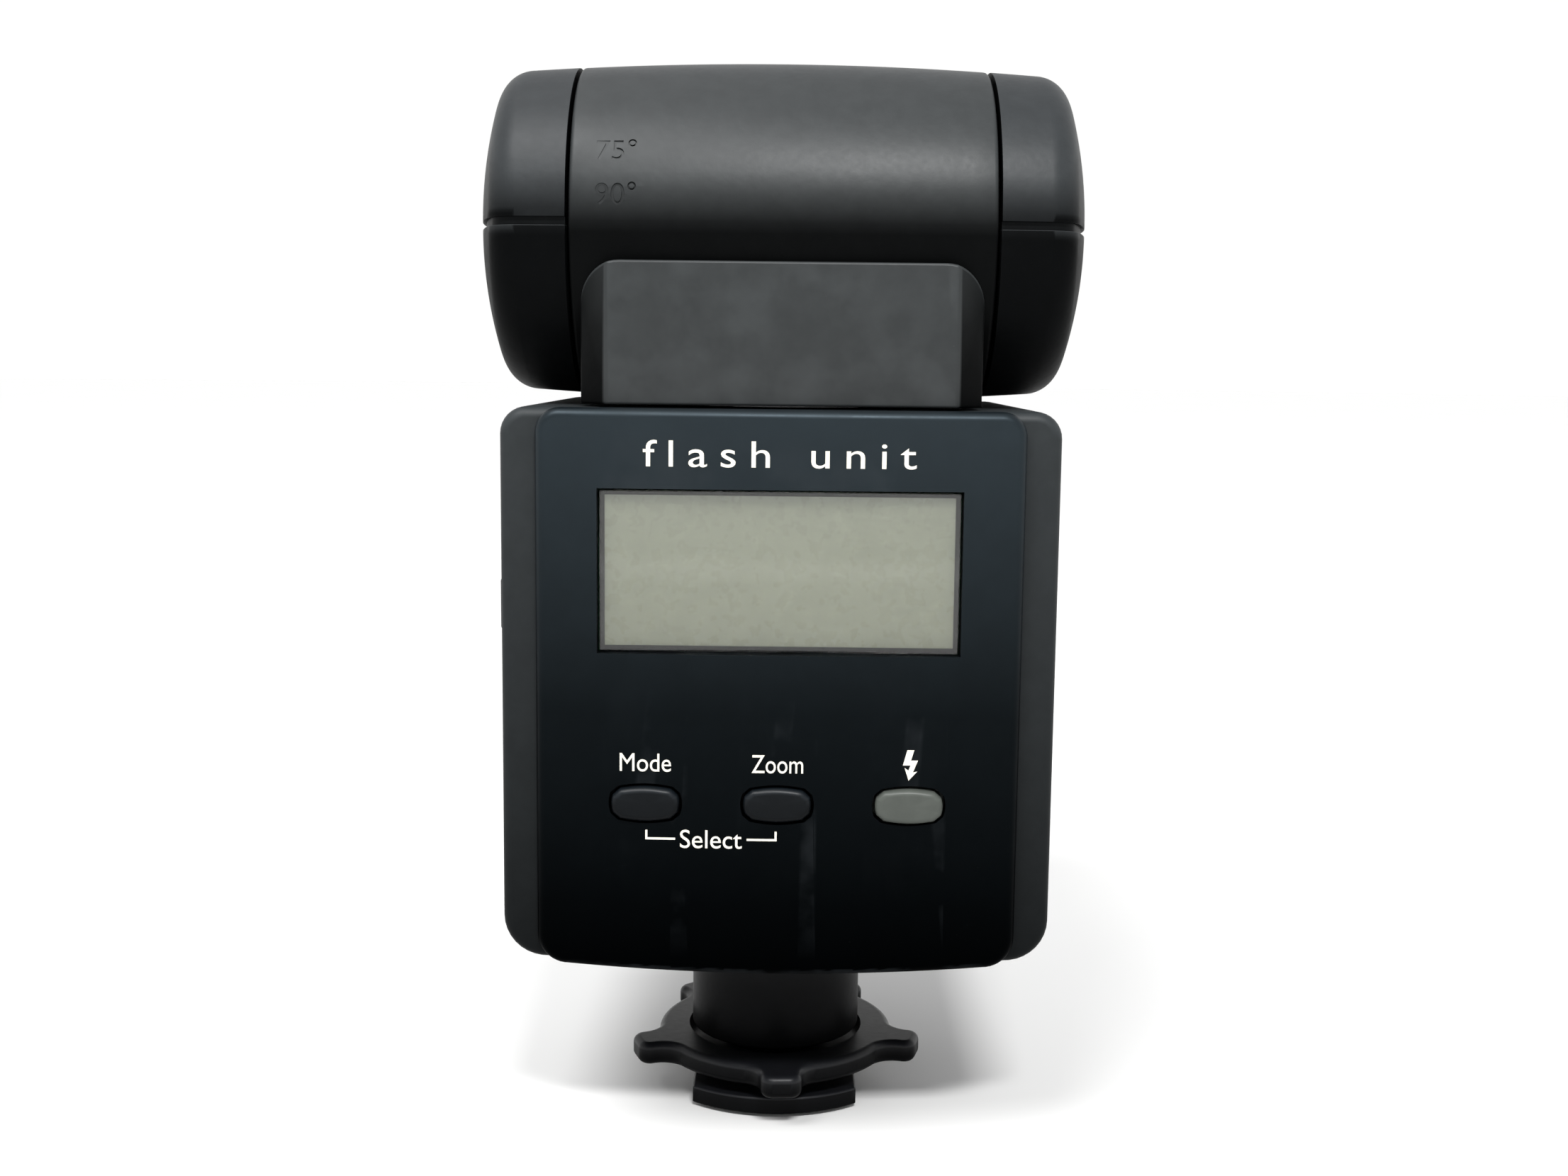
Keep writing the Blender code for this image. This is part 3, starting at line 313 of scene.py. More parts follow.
def clear_plastic(name, colour, roughness=0.04, transmission=0.95):
    """Clear moulding with faint flow lines and fine rubbing."""
    graph = Graph(name)
    graph.feed("Transmission Weight", transmission)
    graph.feed("IOR", 1.49)
    tint = graph.mix(graph.span(graph.noise(40, 3), 0.0, 0.5), colour, toned(colour, 0.93))
    rough = graph.span(graph.noise(220, 4), roughness, roughness + 0.08, 0.4, 0.75)
    normal = graph.bump(graph.noise(120, 2), 0.06, 0.03)
    return graph.finish(tint, rough, normal)


def metal(name, colour, roughness, streak=(1.0, 1.0, 1.0), scale=1500):
    """Bare metal with drawn or turned streaks, and slightly dulled patches."""
    graph = Graph(name)
    graph.feed("Metallic", 1.0)
    lines = graph.noise(scale, 4, coords=graph.stretched(streak))
    dull = graph.step(graph.noise(160, 4), 0.42, 0.7)
    base = graph.mix(dull, colour, toned(colour, 0.72))
    rough = graph.span(lines, roughness * 0.8, roughness * 1.3)
    return graph.finish(base, rough, graph.bump(lines, 0.2, 0.01))


def circuit_board(name):
    """Solder-masked board: copper tracks a little lighter, with pale pads."""
    graph = Graph(name)
    tracks = graph.add("ShaderNodeTexBrick", "Color", {
        "Scale": 260, "Mortar Size": 0.12, "Color1": (0.012, 0.075, 0.030),
        "Color2": (0.016, 0.100, 0.040), "Mortar": (0.030, 0.160, 0.065), "Vector": graph.coords,
    })
    pads = graph.span(graph.cells(420, "F1"), 1.0, 0.0, 0.10, 0.14)
    base = graph.mix(pads, tracks, (0.62, 0.60, 0.52))
    rough = graph.span(graph.noise(300), 0.30, 0.45)
    return graph.finish(base, rough, graph.bump(pads, 0.3, 0.04))


def painted_ink(name, colour):
    """Pad-printed ink, slightly uneven and matt."""
    graph = Graph(name)
    thin = graph.span(graph.noise(2400, 3), 0.0, 0.35, 0.45, 0.75)
    base = graph.mix(thin, colour, toned(colour, 0.62))
    rough = graph.span(graph.noise(1500), 0.45, 0.62)
    return graph.finish(base, rough, graph.bump(graph.noise(3600), 0.2, 0.006))


def cell_sleeve(name):
    """A battery's printed sleeve: dark below, a coppery band near the top."""
    graph = Graph(name)
    low, high = (value.z * MM for value in box_mm("battery_cell_1"))
    height = graph.step(graph.along("Z"), low, high)
    base = graph.ramp(height, [
        (0.0, (0.02, 0.02, 0.025)), (0.70, (0.02, 0.02, 0.025)), (0.72, (0.45, 0.24, 0.10)),
        (0.955, (0.45, 0.24, 0.10)), (0.98, (0.60, 0.60, 0.60)),
    ])
    rough = graph.span(graph.noise(400), 0.22, 0.38)
    return graph.finish(base, rough, graph.bump(graph.noise(700), 0.1, 0.02))


# In moulded, shade, fade and plate set painted shade and painted light: shade darkens faces that
# look sideways or down, fade lightens the casing upwards, and plate lightens the neck's flat rear
# plate.
LOOK = {
    "casing": moulded("casing_plastic", (0.023, 0.027, 0.029), 0.50, shade=0.3, fade=(20, 80)),
    "head": moulded("head_plastic", (0.023, 0.026, 0.028), 0.45, 0.55, 0.016),
    "neck": moulded("neck_plastic", (0.028, 0.031, 0.032), 0.42, 0.45, 0.016, plate=NECK_LOW.y),
    "foot": moulded("foot_plastic", (0.006, 0.0065, 0.008), 0.40, 0.6, 0.012, 0.2, 0.8, 0.92),
    "key": moulded("key_plastic", (0.004, 0.006, 0.008), 0.38, 0.8, 0.006, 0.15, 0.6, 0.72),
    "rubber": moulded("soft_rubber", (0.010, 0.010, 0.011), 0.72, 0.5, 0.02, 0.15, 0.2, 0.4),
    "inner": moulded("inner_plastic", (0.050, 0.050, 0.054), 0.60, 0.5, 0.02, shade=0.2),
    "panel": satin_panel("panel_plastic", (0.0080, 0.0115, 0.0140)),
    "grey_key": moulded("translucent_key", (0.064, 0.071, 0.063), 0.36, 0.9, 0.005, 0.1, 0.3, 0.2),
    "border": moulded("display_border", (0.004, 0.004, 0.005), 0.35, 0.9, 0.004, 0.1, 0.3),
    "display": display_glass("display_cell"),
    "clear": clear_plastic("clear_plastic", (0.93, 0.95, 0.94)),
    "lens": clear_plastic("lens_plastic", (0.90, 0.93, 0.90), 0.06),
    "window": clear_plastic("display_window", (0.97, 0.98, 0.96), 0.03, 1.0),
    "red": clear_plastic("red_window", (0.28, 0.006, 0.012), 0.08, 0.6),
    "steel": metal("plain_steel", (0.56, 0.56, 0.57), 0.30, (1.0, 1.0, 0.08)),
    "brass": metal("plain_brass", (0.70, 0.52, 0.24), 0.26, (1.0, 1.0, 0.1)),
    "mirror": metal("bright_sheet", (0.88, 0.88, 0.88), 0.10, (0.05, 1.0, 1.0)),
    "copper": metal("wound_copper", (0.62, 0.28, 0.13), 0.30, (0.02, 1.0, 1.0), 3000),
    "board": circuit_board("circuit_board"),
    "ink": painted_ink("cream_ink", CREAM),
    "cell": cell_sleeve("cell_sleeve"),
}

CAD_LOOKS = {
    "steel": [*BODY_SCREWS, "head_screw_1", "head_screw_2", "swivel_hub", "retaining_ring",
              "tilt_axle", "hinge_disc_left", "hinge_disc_right", "zoom_motor", "guide_rod",
              "battery_contacts_low", "battery_contacts_high"],
    "brass": [*SHOE_CONTACTS, "zoom_leadscrew"],
    "inner": ["battery_holder", "main_capacitor", "inverter_transformer", "zoom_carriage"],
    "board": ["control_board", "power_board"],
    "cell": [f"battery_cell_{i}" for i in range(1, 5)],
    "rubber": ["keypad_sheet"],
    "copper": ["trigger_coil"],
    "mirror": ["reflector"],
    "clear": ["flash_tube", "assist_lamp"],
    "display": ["lcd_module"],
}


def paint_frame():
    """Gives the CAD nodes that stay in view their materials."""
    for look, nodes in CAD_LOOKS.items():
        for node in nodes:
            mesh = frame["nodes"][node].data
            mesh.materials.clear()
            mesh.materials.append(LOOK[look])


# ---- mesh tools, lengths in mm
def arc(centre, radius, start, end, steps):
    """Points along an arc between two angles in degrees."""
    turns = [math.radians(start + (end - start) * i / steps) for i in range(steps + 1)]
    return [(centre[0] + radius * math.cos(t), centre[1] + radius * math.sin(t)) for t in turns]


def linked(name, data):
    """An object with this data, in the scene."""
    obj = bpy.data.objects.new(name, data)
    bpy.context.scene.collection.objects.link(obj)
    return obj


def meshed(name, bm, scale=MM):
    """A bmesh in mm as an object in the scene."""
    bm.transform(Matrix.Scale(scale, 4))
    mesh = bpy.data.meshes.new(name)
    bm.to_mesh(mesh)
    bm.free()
    return linked(name, mesh)


def solid(name, bm):
    """The same, facing outwards. A Boolean's tool stays this plain, and goes once it has cut."""
    bmesh.ops.recalc_face_normals(bm, faces=bm.faces)
    return meshed(name, bm)


def final_mesh(obj):
    """A new mesh: what the object's modifiers or letters make."""
    bpy.context.view_layer.update()
    graph = bpy.context.evaluated_depsgraph_get()
    return bpy.data.meshes.new_from_object(obj.evaluated_get(graph))


def smooth_shading(mesh, angle):
    """Smooth shading, but for edges sharper than this many degrees."""
    mesh.shade_smooth()
    mesh.set_sharp_from_angle(angle=math.radians(angle))


def to_object(name, bm, look, body, nodes=(), smooth=40):
    """Turns a bmesh in mm into a piece that rides on a body."""
    obj = solid(name, bm)
    obj.data.materials.append(LOOK[look])
    smooth_shading(obj.data, smooth)
    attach(obj, body)
    if nodes:
        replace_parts(obj, *nodes)
    return obj


def prism_bm(outline, axis, low, high):
    """A bmesh block: an outline in the plane across an axis, from low to high along it."""
    bm = bmesh.new()
    places = {
        "X": lambda u, v, w: (w, u, v),
        "Y": lambda u, v, w: (u, w, v),
        "Z": lambda u, v, w: (u, v, w),
    }[axis]
    near = [bm.verts.new(places(u, v, low)) for u, v in outline]
    far = [bm.verts.new(places(u, v, high)) for u, v in outline]
    bm.faces.new(near)
    bm.faces.new(far)
    for i, vert in enumerate(near):
        after = (i + 1) % len(near)
        bm.faces.new((vert, near[after], far[after], far[i]))
    bmesh.ops.recalc_face_normals(bm, faces=bm.faces)
    return bm


def box_bm(low, high):
    bm = bmesh.new()
    bmesh.ops.create_cube(bm, size=1.0)
    low, high = Vector(low), Vector(high)
    bmesh.ops.scale(bm, vec=high - low, verts=bm.verts)
    bmesh.ops.translate(bm, vec=(low + high) / 2, verts=bm.verts)
    return bm


def rod_bm(centre, axis, length, radius, sides=64):
    bm = bmesh.new()
    turn = {"X": Matrix.Rotation(math.pi / 2, 4, "Y"), "Z": Matrix()}
    turn["Y"] = Matrix.Rotation(math.pi / 2, 4, "X")
    bmesh.ops.create_cone(
        bm, cap_ends=True, segments=sides, radius1=radius, radius2=radius, depth=length,
        matrix=Matrix.Translation(centre) @ turn[axis],
    )
    return bm


def turned_bm(profile, sides=96):
    """Turned round Z; the profile is (radius, height), a closed loop or ending on the axis."""
    bm = bmesh.new()
    closed = profile[0][0] > 0
    verts = [bm.verts.new((radius, 0, height)) for radius, height in profile]
    edges = [bm.edges.new(pair) for pair in zip(verts, verts[1:])]
    if closed:
        edges.append(bm.edges.new((verts[-1], verts[0])))
    bmesh.ops.spin(
        bm, geom=verts + edges, cent=(0, 0, 0), axis=(0, 0, 1), angle=2 * math.pi, steps=sides
    )
    bmesh.ops.remove_doubles(bm, verts=bm.verts, dist=0.0005)
    return bm


def bevel_where(bm, test, width, segments=4):
    """Rounds the edges that pass the test."""
    edges = [edge for edge in bm.edges if test(edge)]
    bmesh.ops.bevel(
        bm, geom=edges, offset=width, segments=segments, profile=0.5, affect="EDGES",
        clamp_overlap=True,
    )
    return bm


def sharp(edge, angle=50):
    return len(edge.link_faces) == 2 and edge.calc_face_angle(0) > math.radians(angle)


def level(edge):
    """A sharp edge of a flat top or bottom face."""
    return abs(edge.verts[0].co.z - edge.verts[1].co.z) < 0.001 and sharp(edge, 60)


def round_sharp(bm, width, segments=4):
    return bevel_where(bm, sharp, width, segments)


def along_y(edge, y):
    return max(abs(vert.co.y - y) for vert in edge.verts) < 0.001


def round_at_y(bm, y, width, segments):
    """Rounds the sharp edges that lie in the plane at y."""
    return bevel_where(bm, lambda edge: along_y(edge, y) and sharp(edge), width, segments)


def cut(obj, *tools, operation="DIFFERENCE", smooth=40):
    """Applies Booleans, so that the piece's own mesh is final, and removes the tools."""
    for tool in tools:
        boolean = obj.modifiers.new("cut", "BOOLEAN")
        boolean.operation = operation
        boolean.object = tool
        boolean.solver = "EXACT"
    mesh = final_mesh(obj)
    obj.modifiers.clear()
    obj.data = mesh
    smooth_shading(mesh, smooth)
    for tool in tools:
        bpy.data.objects.remove(tool, do_unlink=True)
    return obj


def even_shading(obj):
    """Weights the normals by face area, so that flats next to small roundings stay flat."""
    weighted = obj.modifiers.new("even_shading", "WEIGHTED_NORMAL")
    weighted.keep_sharp = True
    weighted.weight = 80
    return obj


# ---- head
def crown(x):
    """Distance of the barrel's or the head's crown from the tilt axis, at x."""
    return BARREL_RADIUS - CROWN_RADIUS + math.sqrt(CROWN_RADIUS**2 - x**2)


def circles_meet(near, near_radius, far, far_radius):
    gap = near - far
    along = (far_radius**2 - near_radius**2 + gap.length_squared) / (2 * gap.length)
    across = math.sqrt(far_radius**2 - along**2)
    unit = gap.normalized()
    return far + unit * along + Vector((unit.y, -unit.x)) * across


def cheek_curve(inset=0.0):
    """(x, height) from the cheek's middle round its corner to the edge of the barrel slot."""
    cheek = Vector((CHEEK_MAX - CHEEK_RADIUS, 0))
    top = Vector((0, BARREL_RADIUS - CROWN_RADIUS))
    corner = circles_meet(cheek, CHEEK_RADIUS - CORNER_RADIUS, top, CROWN_RADIUS - CORNER_RADIUS)
    leave = math.degrees(math.atan2(*(corner - cheek).yx))
    arrive = math.degrees(math.atan2(*(corner - top).yx))
    points = arc(cheek, CHEEK_RADIUS - inset, 0, leave, 18)
    points += arc(corner, CORNER_RADIUS - inset, leave, arrive, 12)[1:]
    end = points[-1][0]
    for i in range(1, 4):
        x = end + (SLOT_HALF - end) * i / 3
        points.append((x, crown(x) - inset))
    return points


def head_curve(inset=0.0):
    """The whole curve as (x, height), from one cheek over the top to the other."""
    side = cheek_curve(inset)
    middle = [SLOT_HALF - 2 * SLOT_HALF * i / 12 for i in range(1, 12)]
    points = side + [(x, crown(x) - inset) for x in middle]
    return points + [(-x, height) for x, height in reversed(side)]


def head_skin(name, sign, opening, node):
    """One half of the head's outer skin: a grid drawn forward, and turned behind the tilt axis."""
    reach = HEAD_HIGH.y - AXIS.y
    straight = [reach - (reach - opening) * i / 10 for i in range(11)]
    straight += [opening * (1 - i / 4) for i in range(1, 5)]
    stations = [(y, 90.0) for y in straight] + [(0.0, 90 + 90 * i / 28) for i in range(1, 29)]
    curve = head_curve()
    squeeze = 1 - SEAM_HALF / BARREL_RADIUS
    bm = bmesh.new()
    rows = []
    for y, angle in stations:
        turn = math.radians(angle)
        row = []
        for x, height in curve:
            z = SEAM_HALF + height * math.sin(turn) * squeeze
            place = (x, AXIS.y + y + height * math.cos(turn), AXIS.z + sign * z)
            row.append(bm.verts.new(place))
        rows.append(row)
    for i, (first, second) in enumerate(zip(rows, rows[1:])):
        beyond = i >= 10
        for j in range(len(curve) - 1):
            over_slot = abs(curve[j][0] + curve[j + 1][0]) / 2 < SLOT_HALF
            if not (beyond and over_slot):
                bm.faces.new((first[j], first[j + 1], second[j + 1], second[j]))
    loose = [vert for vert in bm.verts if not vert.link_faces]
    bmesh.ops.delete(bm, geom=loose, context="VERTS")
    bmesh.ops.remove_doubles(bm, verts=bm.verts, dist=0.0005)
    bmesh.ops.recalc_face_normals(bm, faces=bm.faces)
    top = max(bm.faces, key=lambda face: sign * face.calc_center_median().z)
    if top.normal.z * sign < 0:
        bmesh.ops.reverse_faces(bm, faces=bm.faces)
    obj = meshed(name, bm)
    obj.data.materials.append(LOOK["head"])
    obj.data.shade_smooth()
    shell = obj.modifiers.new("shell", "SOLIDIFY")
    shell.thickness = HEAD_WALL * MM
    shell.offset = -1
    shell.use_even_offset = False
    rim = obj.modifiers.new("rim", "BEVEL")
    rim.width = 0.28 * MM
    rim.segments = 3
    rim.limit_method = "ANGLE"
    rim.angle_limit = math.radians(55)
    if opening == SLOT_OPENING:
        room = rod_bm(AXIS, "X", 2 * SLOT_HALF, BARREL_RADIUS + 0.3, 128)
        cut(obj, solid("barrel_room", room))
    even_shading(obj)
    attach(obj, "head")
    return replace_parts(obj, node)


def seam_strips():
    """The recessed lip that shows between the two head shells, on each side."""
    for name, sign in (("head_seam_lip_left", -1), ("head_seam_lip_right", 1)):
        paths = []
        for inset in (0.40, 1.5):
            path = [(CHEEK_MAX - inset, HEAD_HIGH.y - 0.2)]
            path += [(x, AXIS.y - height) for x, height in cheek_curve(inset)]
            paths.append([(sign * x, y) for x, y in path])
        outline = paths[0] + paths[1][::-1]
        bm = prism_bm(outline, "Z", AXIS.z - 0.8, AXIS.z + 0.8)
        to_object(name, bm, "head", "head")


def slot_walls():
    """The curved wall in front of the barrel, and the flat walls at its ends."""
    radius = BARREL_RADIUS + 0.5
    start = math.degrees(math.acos((SLOT_OPENING + 0.15) / (radius + 0.1)))
    notch_y, notch_z = NOTCH_REACH, -NOTCH_DROP
    end = -math.degrees(math.asin(-notch_z / radius))
    front = arc((AXIS.y, AXIS.z), radius, start, end, 40)
    low = AXIS.z - crown(0) + 0.6
    front += [(AXIS.y + notch_y, AXIS.z + notch_z), (AXIS.y + notch_y, low)]
    back = [(y + 1.5, z + (0.9 if z < AXIS.z + notch_z + 1 else 0)) for y, z in front]
    bm = prism_bm(front + back[::-1], "X", -SLOT_HALF - 1.0, SLOT_HALF + 1.0)
    to_object("head_slot_wall", bm, "head", "head", smooth=30)

    height = crown(SLOT_HALF) - 0.5
    rear = arc((AXIS.y, AXIS.z), height, 90, 270, 64)
    far_y = AXIS.y + notch_y + 1
    outline = rear + [(far_y, AXIS.z - height), (far_y, AXIS.z + height)]
    for name, sign in (("head_side_wall_left", -1), ("head_side_wall_right", 1)):
        near, far = sorted((sign * (SLOT_HALF + 0.02), sign * (SLOT_HALF + 1.2)))
        to_object(name, prism_bm(outline, "X", near, far), "head", "head")


def head_outline(inset=0.0):
    upper = head_curve(inset)
    lower = [(x, -height) for x, height in reversed(upper[1:-1])]
    return [(x, AXIS.z + height) for x, height in upper + lower]


def lens_hole():
    """The tool that cuts the opening round the lens."""
    low = (-OPENING_HALF_X, 40, AXIS.z - OPENING_HALF_Z)
    return solid("hole", box_bm(low, (OPENING_HALF_X, 80, AXIS.z + OPENING_HALF_Z)))


def front_frame():
    """The frame round the lens: a rounded front edge, and a sloping inner edge."""
    bm = prism_bm(head_outline(), "Y", BEZEL_LOW.y, BEZEL_HIGH.y)
    front = BEZEL_HIGH.y - 0.001
    bevel_where(bm, lambda e: min(v.co.y for v in e.verts) > front and sharp(e, 60), 0.9, 5)
    obj = to_object("front_frame", bm, "head", "head", ["front_bezel"])
    flare = bmesh.new()
    half_x, half_z = OPENING_HALF_X, OPENING_HALF_Z
    near = [(-half_x, -half_z), (half_x, -half_z), (half_x, half_z), (-half_x, half_z)]
    rows = []
    for y, grow in ((LENS_HIGH.y - 0.1, -0.1), (BEZEL_HIGH.y + 0.4, 1.0)):
        rows.append([
            flare.verts.new((x + math.copysign(grow, x), y, AXIS.z + z + math.copysign(grow, z)))
            for x, z in near
        ])
    flare.faces.new(rows[0])
    flare.faces.new(rows[1])
    for i in range(4):
        j = (i + 1) % 4
        flare.faces.new((rows[0][i], rows[0][j], rows[1][j], rows[1][i]))
    cut(obj, lens_hole(), solid("flare", flare))
    return even_shading(obj)


def front_lip():
    """A dark lip just below the surface, which closes the gap between the shells and the frame."""
    bm = prism_bm(head_outline(LIP_INSET), "Y", HEAD_HIGH.y - 0.1, BEZEL_LOW.y + 0.1)
    lip = to_object("head_front_lip", bm, "head", "head")
    cut(lip, lens_hole())


def fresnel_lens():
    """The lens: a plain border and rows of prisms that steepen away from the middle."""
    half = LENS_HIGH.z - AXIS.z
    pitch = 0.66
    outline = [(LENS_LOW.y, AXIS.z - half), (LENS_HIGH.y, AXIS.z - half)]
    rows = int((half - 0.9) / pitch)
    for i in range(-rows, rows):
        z = AXIS.z + i * pitch
        steep = 0.10 + 0.32 * abs(i + 0.5) / rows
        near, far = (steep, 0.0) if i < 0 else (0.0, steep)
        outline += [(LENS_HIGH.y - near, z + 0.02), (LENS_HIGH.y - far, z + pitch - 0.02)]
    outline += [(LENS_HIGH.y, AXIS.z + half), (LENS_LOW.y, AXIS.z + half)]
    bm = prism_bm(outline, "X", LENS_LOW.x, LENS_HIGH.x)
    to_object("flash_lens", bm, "lens", "head", ["fresnel_lens"], smooth=10)


def build_head():
    head_skin("head_upper_skin", 1, SLOT_OPENING, "head_upper_shell")
    head_skin("head_lower_skin", -1, NOTCH_REACH, "head_lower_shell")
    seam_strips()
    slot_walls()
    front_frame()
    front_lip()
    fresnel_lens()


# ---- lettering
def letters_bm(words, height, centre, width=None, spacing=1.0):
    """Flat letters facing -Y, about (x, z), in mm, of this height over all."""
    text = bpy.data.curves.new("words", "FONT")
    text.body = words
    text.space_character = spacing
    text.resolution_u = 5
    holder = linked("words", text)
    mesh = final_mesh(holder)
    bpy.data.objects.remove(holder, do_unlink=True)
    bm = bmesh.new()
    bm.from_mesh(mesh)
    bmesh.ops.remove_doubles(bm, verts=bm.verts, dist=0.0001)
    xs = [vert.co.x for vert in bm.verts]
    ys = [vert.co.y for vert in bm.verts]
    tall = height / (max(ys) - min(ys))
    wide = width / (max(xs) - min(xs)) if width else tall
    middle_x = (max(xs) + min(xs)) / 2
    middle_y = (max(ys) + min(ys)) / 2
    for vert in bm.verts:
        x = (vert.co.x - middle_x) * wide
        z = (vert.co.y - middle_y) * tall
        vert.co = (centre[0] + x, 0, centre[1] + z)
    return bm


def outline_bm(points):
    """One flat face facing -Y through these (x, z) points."""
    bm = bmesh.new()
    bm.faces.new([bm.verts.new((x, 0, z)) for x, z in points])
    return bm


def merged(parts):
    """Several bmeshes as one."""
    whole = bmesh.new()
    for part in parts:
        mesh = bpy.data.meshes.new("part")
        part.to_mesh(mesh)
        part.free()
        whole.from_mesh(mesh)
        bpy.data.meshes.remove(mesh)
    return whole


def thicken(bm, front, back):
    """Gives flat faces at y = 0 a front and a back, so that each letter is a closed solid."""
    made = bmesh.ops.extrude_face_region(bm, geom=bm.faces[:], use_keep_orig=True)["geom"]
    moved = [item for item in made if isinstance(item, bmesh.types.BMVert)]
    for vert in bm.verts:
        vert.co.y = back
    for vert in moved:
        vert.co.y = front
    return bm


# ---- neck
DEGREES = (("75°", 24.0), ("90°", 9.0))
DEGREE_X = -17.0
DEGREE_HEIGHT = 2.35
NECK_CHAMFER = 2.9
NECK_CORNER = 4.2
COLUMN_HALF = 20.7
COLUMN_FRONT = 1.0
COLUMN_HIGH = 94.2
DISC_RADIUS = 17.5
DISC_HIGH = 84.0


def barrel_bm():
    """The barrel between the head's cheeks: a little crowned, with rounded ends."""
    half, turn_in = BARREL_HALF, 0.45
    top = crown(half - turn_in) - turn_in
    end = arc((half - turn_in, top), turn_in, 0, 90, 4)
    xs = [(half - turn_in) * (1 - i / 10) for i in range(1, 10)]
    right = [(half, 0)] + end + [(x, crown(x)) for x in xs]
    whole = right + [(0, crown(0))] + [(-x, radius) for x, radius in reversed(right)]
    bm = turned_bm([(radius, x) for x, radius in whole], sides=160)
    bm.transform(Matrix.Translation(AXIS) @ Matrix.Rotation(math.pi / 2, 4, "Y"))
    return bm


def column_bm():
    """The column behind the barrel's foot, with a rounded top, seen from behind."""
    low, high, half = NECK_LOW.z, COLUMN_HIGH, COLUMN_HALF
    outline = [(half, low)] + arc((half - NECK_CORNER, high - NECK_CORNER), NECK_CORNER, 0, 90, 12)
    outline += [(-x, z) for x, z in reversed(outline)]
    return prism_bm(outline, "Y", NECK_LOW.y, COLUMN_FRONT)


def build_neck():
    flat = COLUMN_HALF - NECK_CHAMFER
    rear = NECK_LOW.y
    plan = [
        (-COLUMN_HALF - 1, COLUMN_FRONT + 1), (-COLUMN_HALF - 1, rear + NECK_CHAMFER + 1),
        (-flat, rear), (flat, rear),
        (COLUMN_HALF + 1, rear + NECK_CHAMFER + 1), (COLUMN_HALF + 1, COLUMN_FRONT + 1),
    ]
    column = solid("column", column_bm())
    cut(column, solid("plan", prism_bm(plan, "Z", 60, 120)), operation="INTERSECT")
    bm = bmesh.new()
    bm.from_mesh(column.data)
    bmesh.ops.dissolve_limit(bm, angle_limit=0.01, verts=bm.verts, edges=bm.edges)
    back = (rear + 2.95) * MM
    bevel_where(bm, lambda e: max(v.co.y for v in e.verts) < back and sharp(e, 25), 0.45 * MM, 4)
    bm.to_mesh(column.data)
    bm.free()

    whole = to_object("neck", barrel_bm(), "neck", "neck")
    disc_height = DISC_HIGH - NECK_LOW.z
    disc = rod_bm((0, AXIS.y, NECK_LOW.z + disc_height / 2), "Z", disc_height, DISC_RADIUS, 96)
    cut(whole, column, solid("disc", disc), operation="UNION")
    marks = []
    for words, angle in DEGREES:
        mark = thicken(letters_bm(words, DEGREE_HEIGHT, (0, 0)), -0.6, 0.16)
        surface = Vector((DEGREE_X, 0, 0))
        turn = Matrix.Rotation(-math.radians(angle), 4, "X")
        out = turn @ Vector((0, -crown(DEGREE_X), 0))
        mark.transform(Matrix.Translation(AXIS + surface + out) @ turn)
        marks.append(solid("mark", mark))
    cut(whole, *marks)
    for name, side, node in (
        ("neck_rear_half", 1, "neck_rear_shell"), ("neck_front_half", -1, "neck_front_shell"),
    ):
        half = whole.copy()
        half.name = name
        bpy.context.scene.collection.objects.link(half)
        near, far = sorted((AXIS.y - side * 0.08, AXIS.y + side * 60))
        other = solid("other_side", box_bm((-50, near, 60), (50, far, 130)))
        hub = solid("hub_room", rod_bm((0, AXIS.y, 81), "Z", 3.0, HUB_FLANGE, 64))
        bore = solid("hub_hole", rod_bm((0, AXIS.y, 79), "Z", 10, HUB_HOLE, 64))
        axle = solid("axle_hole", rod_bm(AXIS, "X", 60, AXLE_HOLE, 48))
        cut(half, other, hub, bore, axle)
        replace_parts(half, node)
    bpy.data.objects.remove(whole, do_unlink=True)


# ---- body
BODY_HALF = REAR_HIGH.x
BODY_LOW = REAR_LOW.z
BODY_HIGH = REAR_HIGH.z
BODY_RISE = 1.3
WALL = 1.8
FIT = 0.25
PANEL_HOLE_HALF = 22.5
PANEL_HOLE_LOW = 29
PANEL_HOLE_HIGH = 74.5
SWITCH_TRAVEL = 3.0
TAB_LOW = (-19.2, 57)
TAB_HIGH = (-17.8, 60.5)


def body_outline(half, inset=0.0, low=BODY_LOW, corner=4.5, top_corner=2.8, fine=8):
    """The body from behind: a flat top and a bottom that bows down in the middle."""
    side = half - inset
    high = BODY_HIGH - inset
    radius = (BODY_HALF**2 + BODY_RISE**2) / (2 * BODY_RISE)
    span = math.degrees(math.asin((side - corner) / radius))
    bow = arc((0, low + inset + radius), radius, -90 - span, -90 + span, 16)
    corner_z = low + inset + radius - math.sqrt(radius**2 - (side - corner) ** 2)
    right = arc((side - corner, corner_z + corner), corner, -84, 0, fine)
    left = arc((corner - side, corner_z + corner), corner, 180, 264, fine)
    top = arc((side - top_corner, high - top_corner), top_corner, 0, 90, fine)
    top += arc((top_corner - side, high - top_corner), top_corner, 90, 180, fine)
    return bow + right + top + left


def body_half(name, low, high, rear_round, front_round, node, *tools):
    bm = prism_bm(body_outline(BODY_HALF), "Y", low, high)
    round_at_y(bm, low, rear_round, 5)
    round_at_y(bm, high, front_round, 5)
    obj = to_object(name, bm, "casing", "root", [node])
    cut(obj, *tools, smooth=35)
    return even_shading(obj)


def middle_and_radius(node):
    """Where an upright round node's axis is, and its radius."""
    low, high = box_mm(node)
    return (low.x + high.x) / 2, (low.y + high.y) / 2, (high.x - low.x) / 2


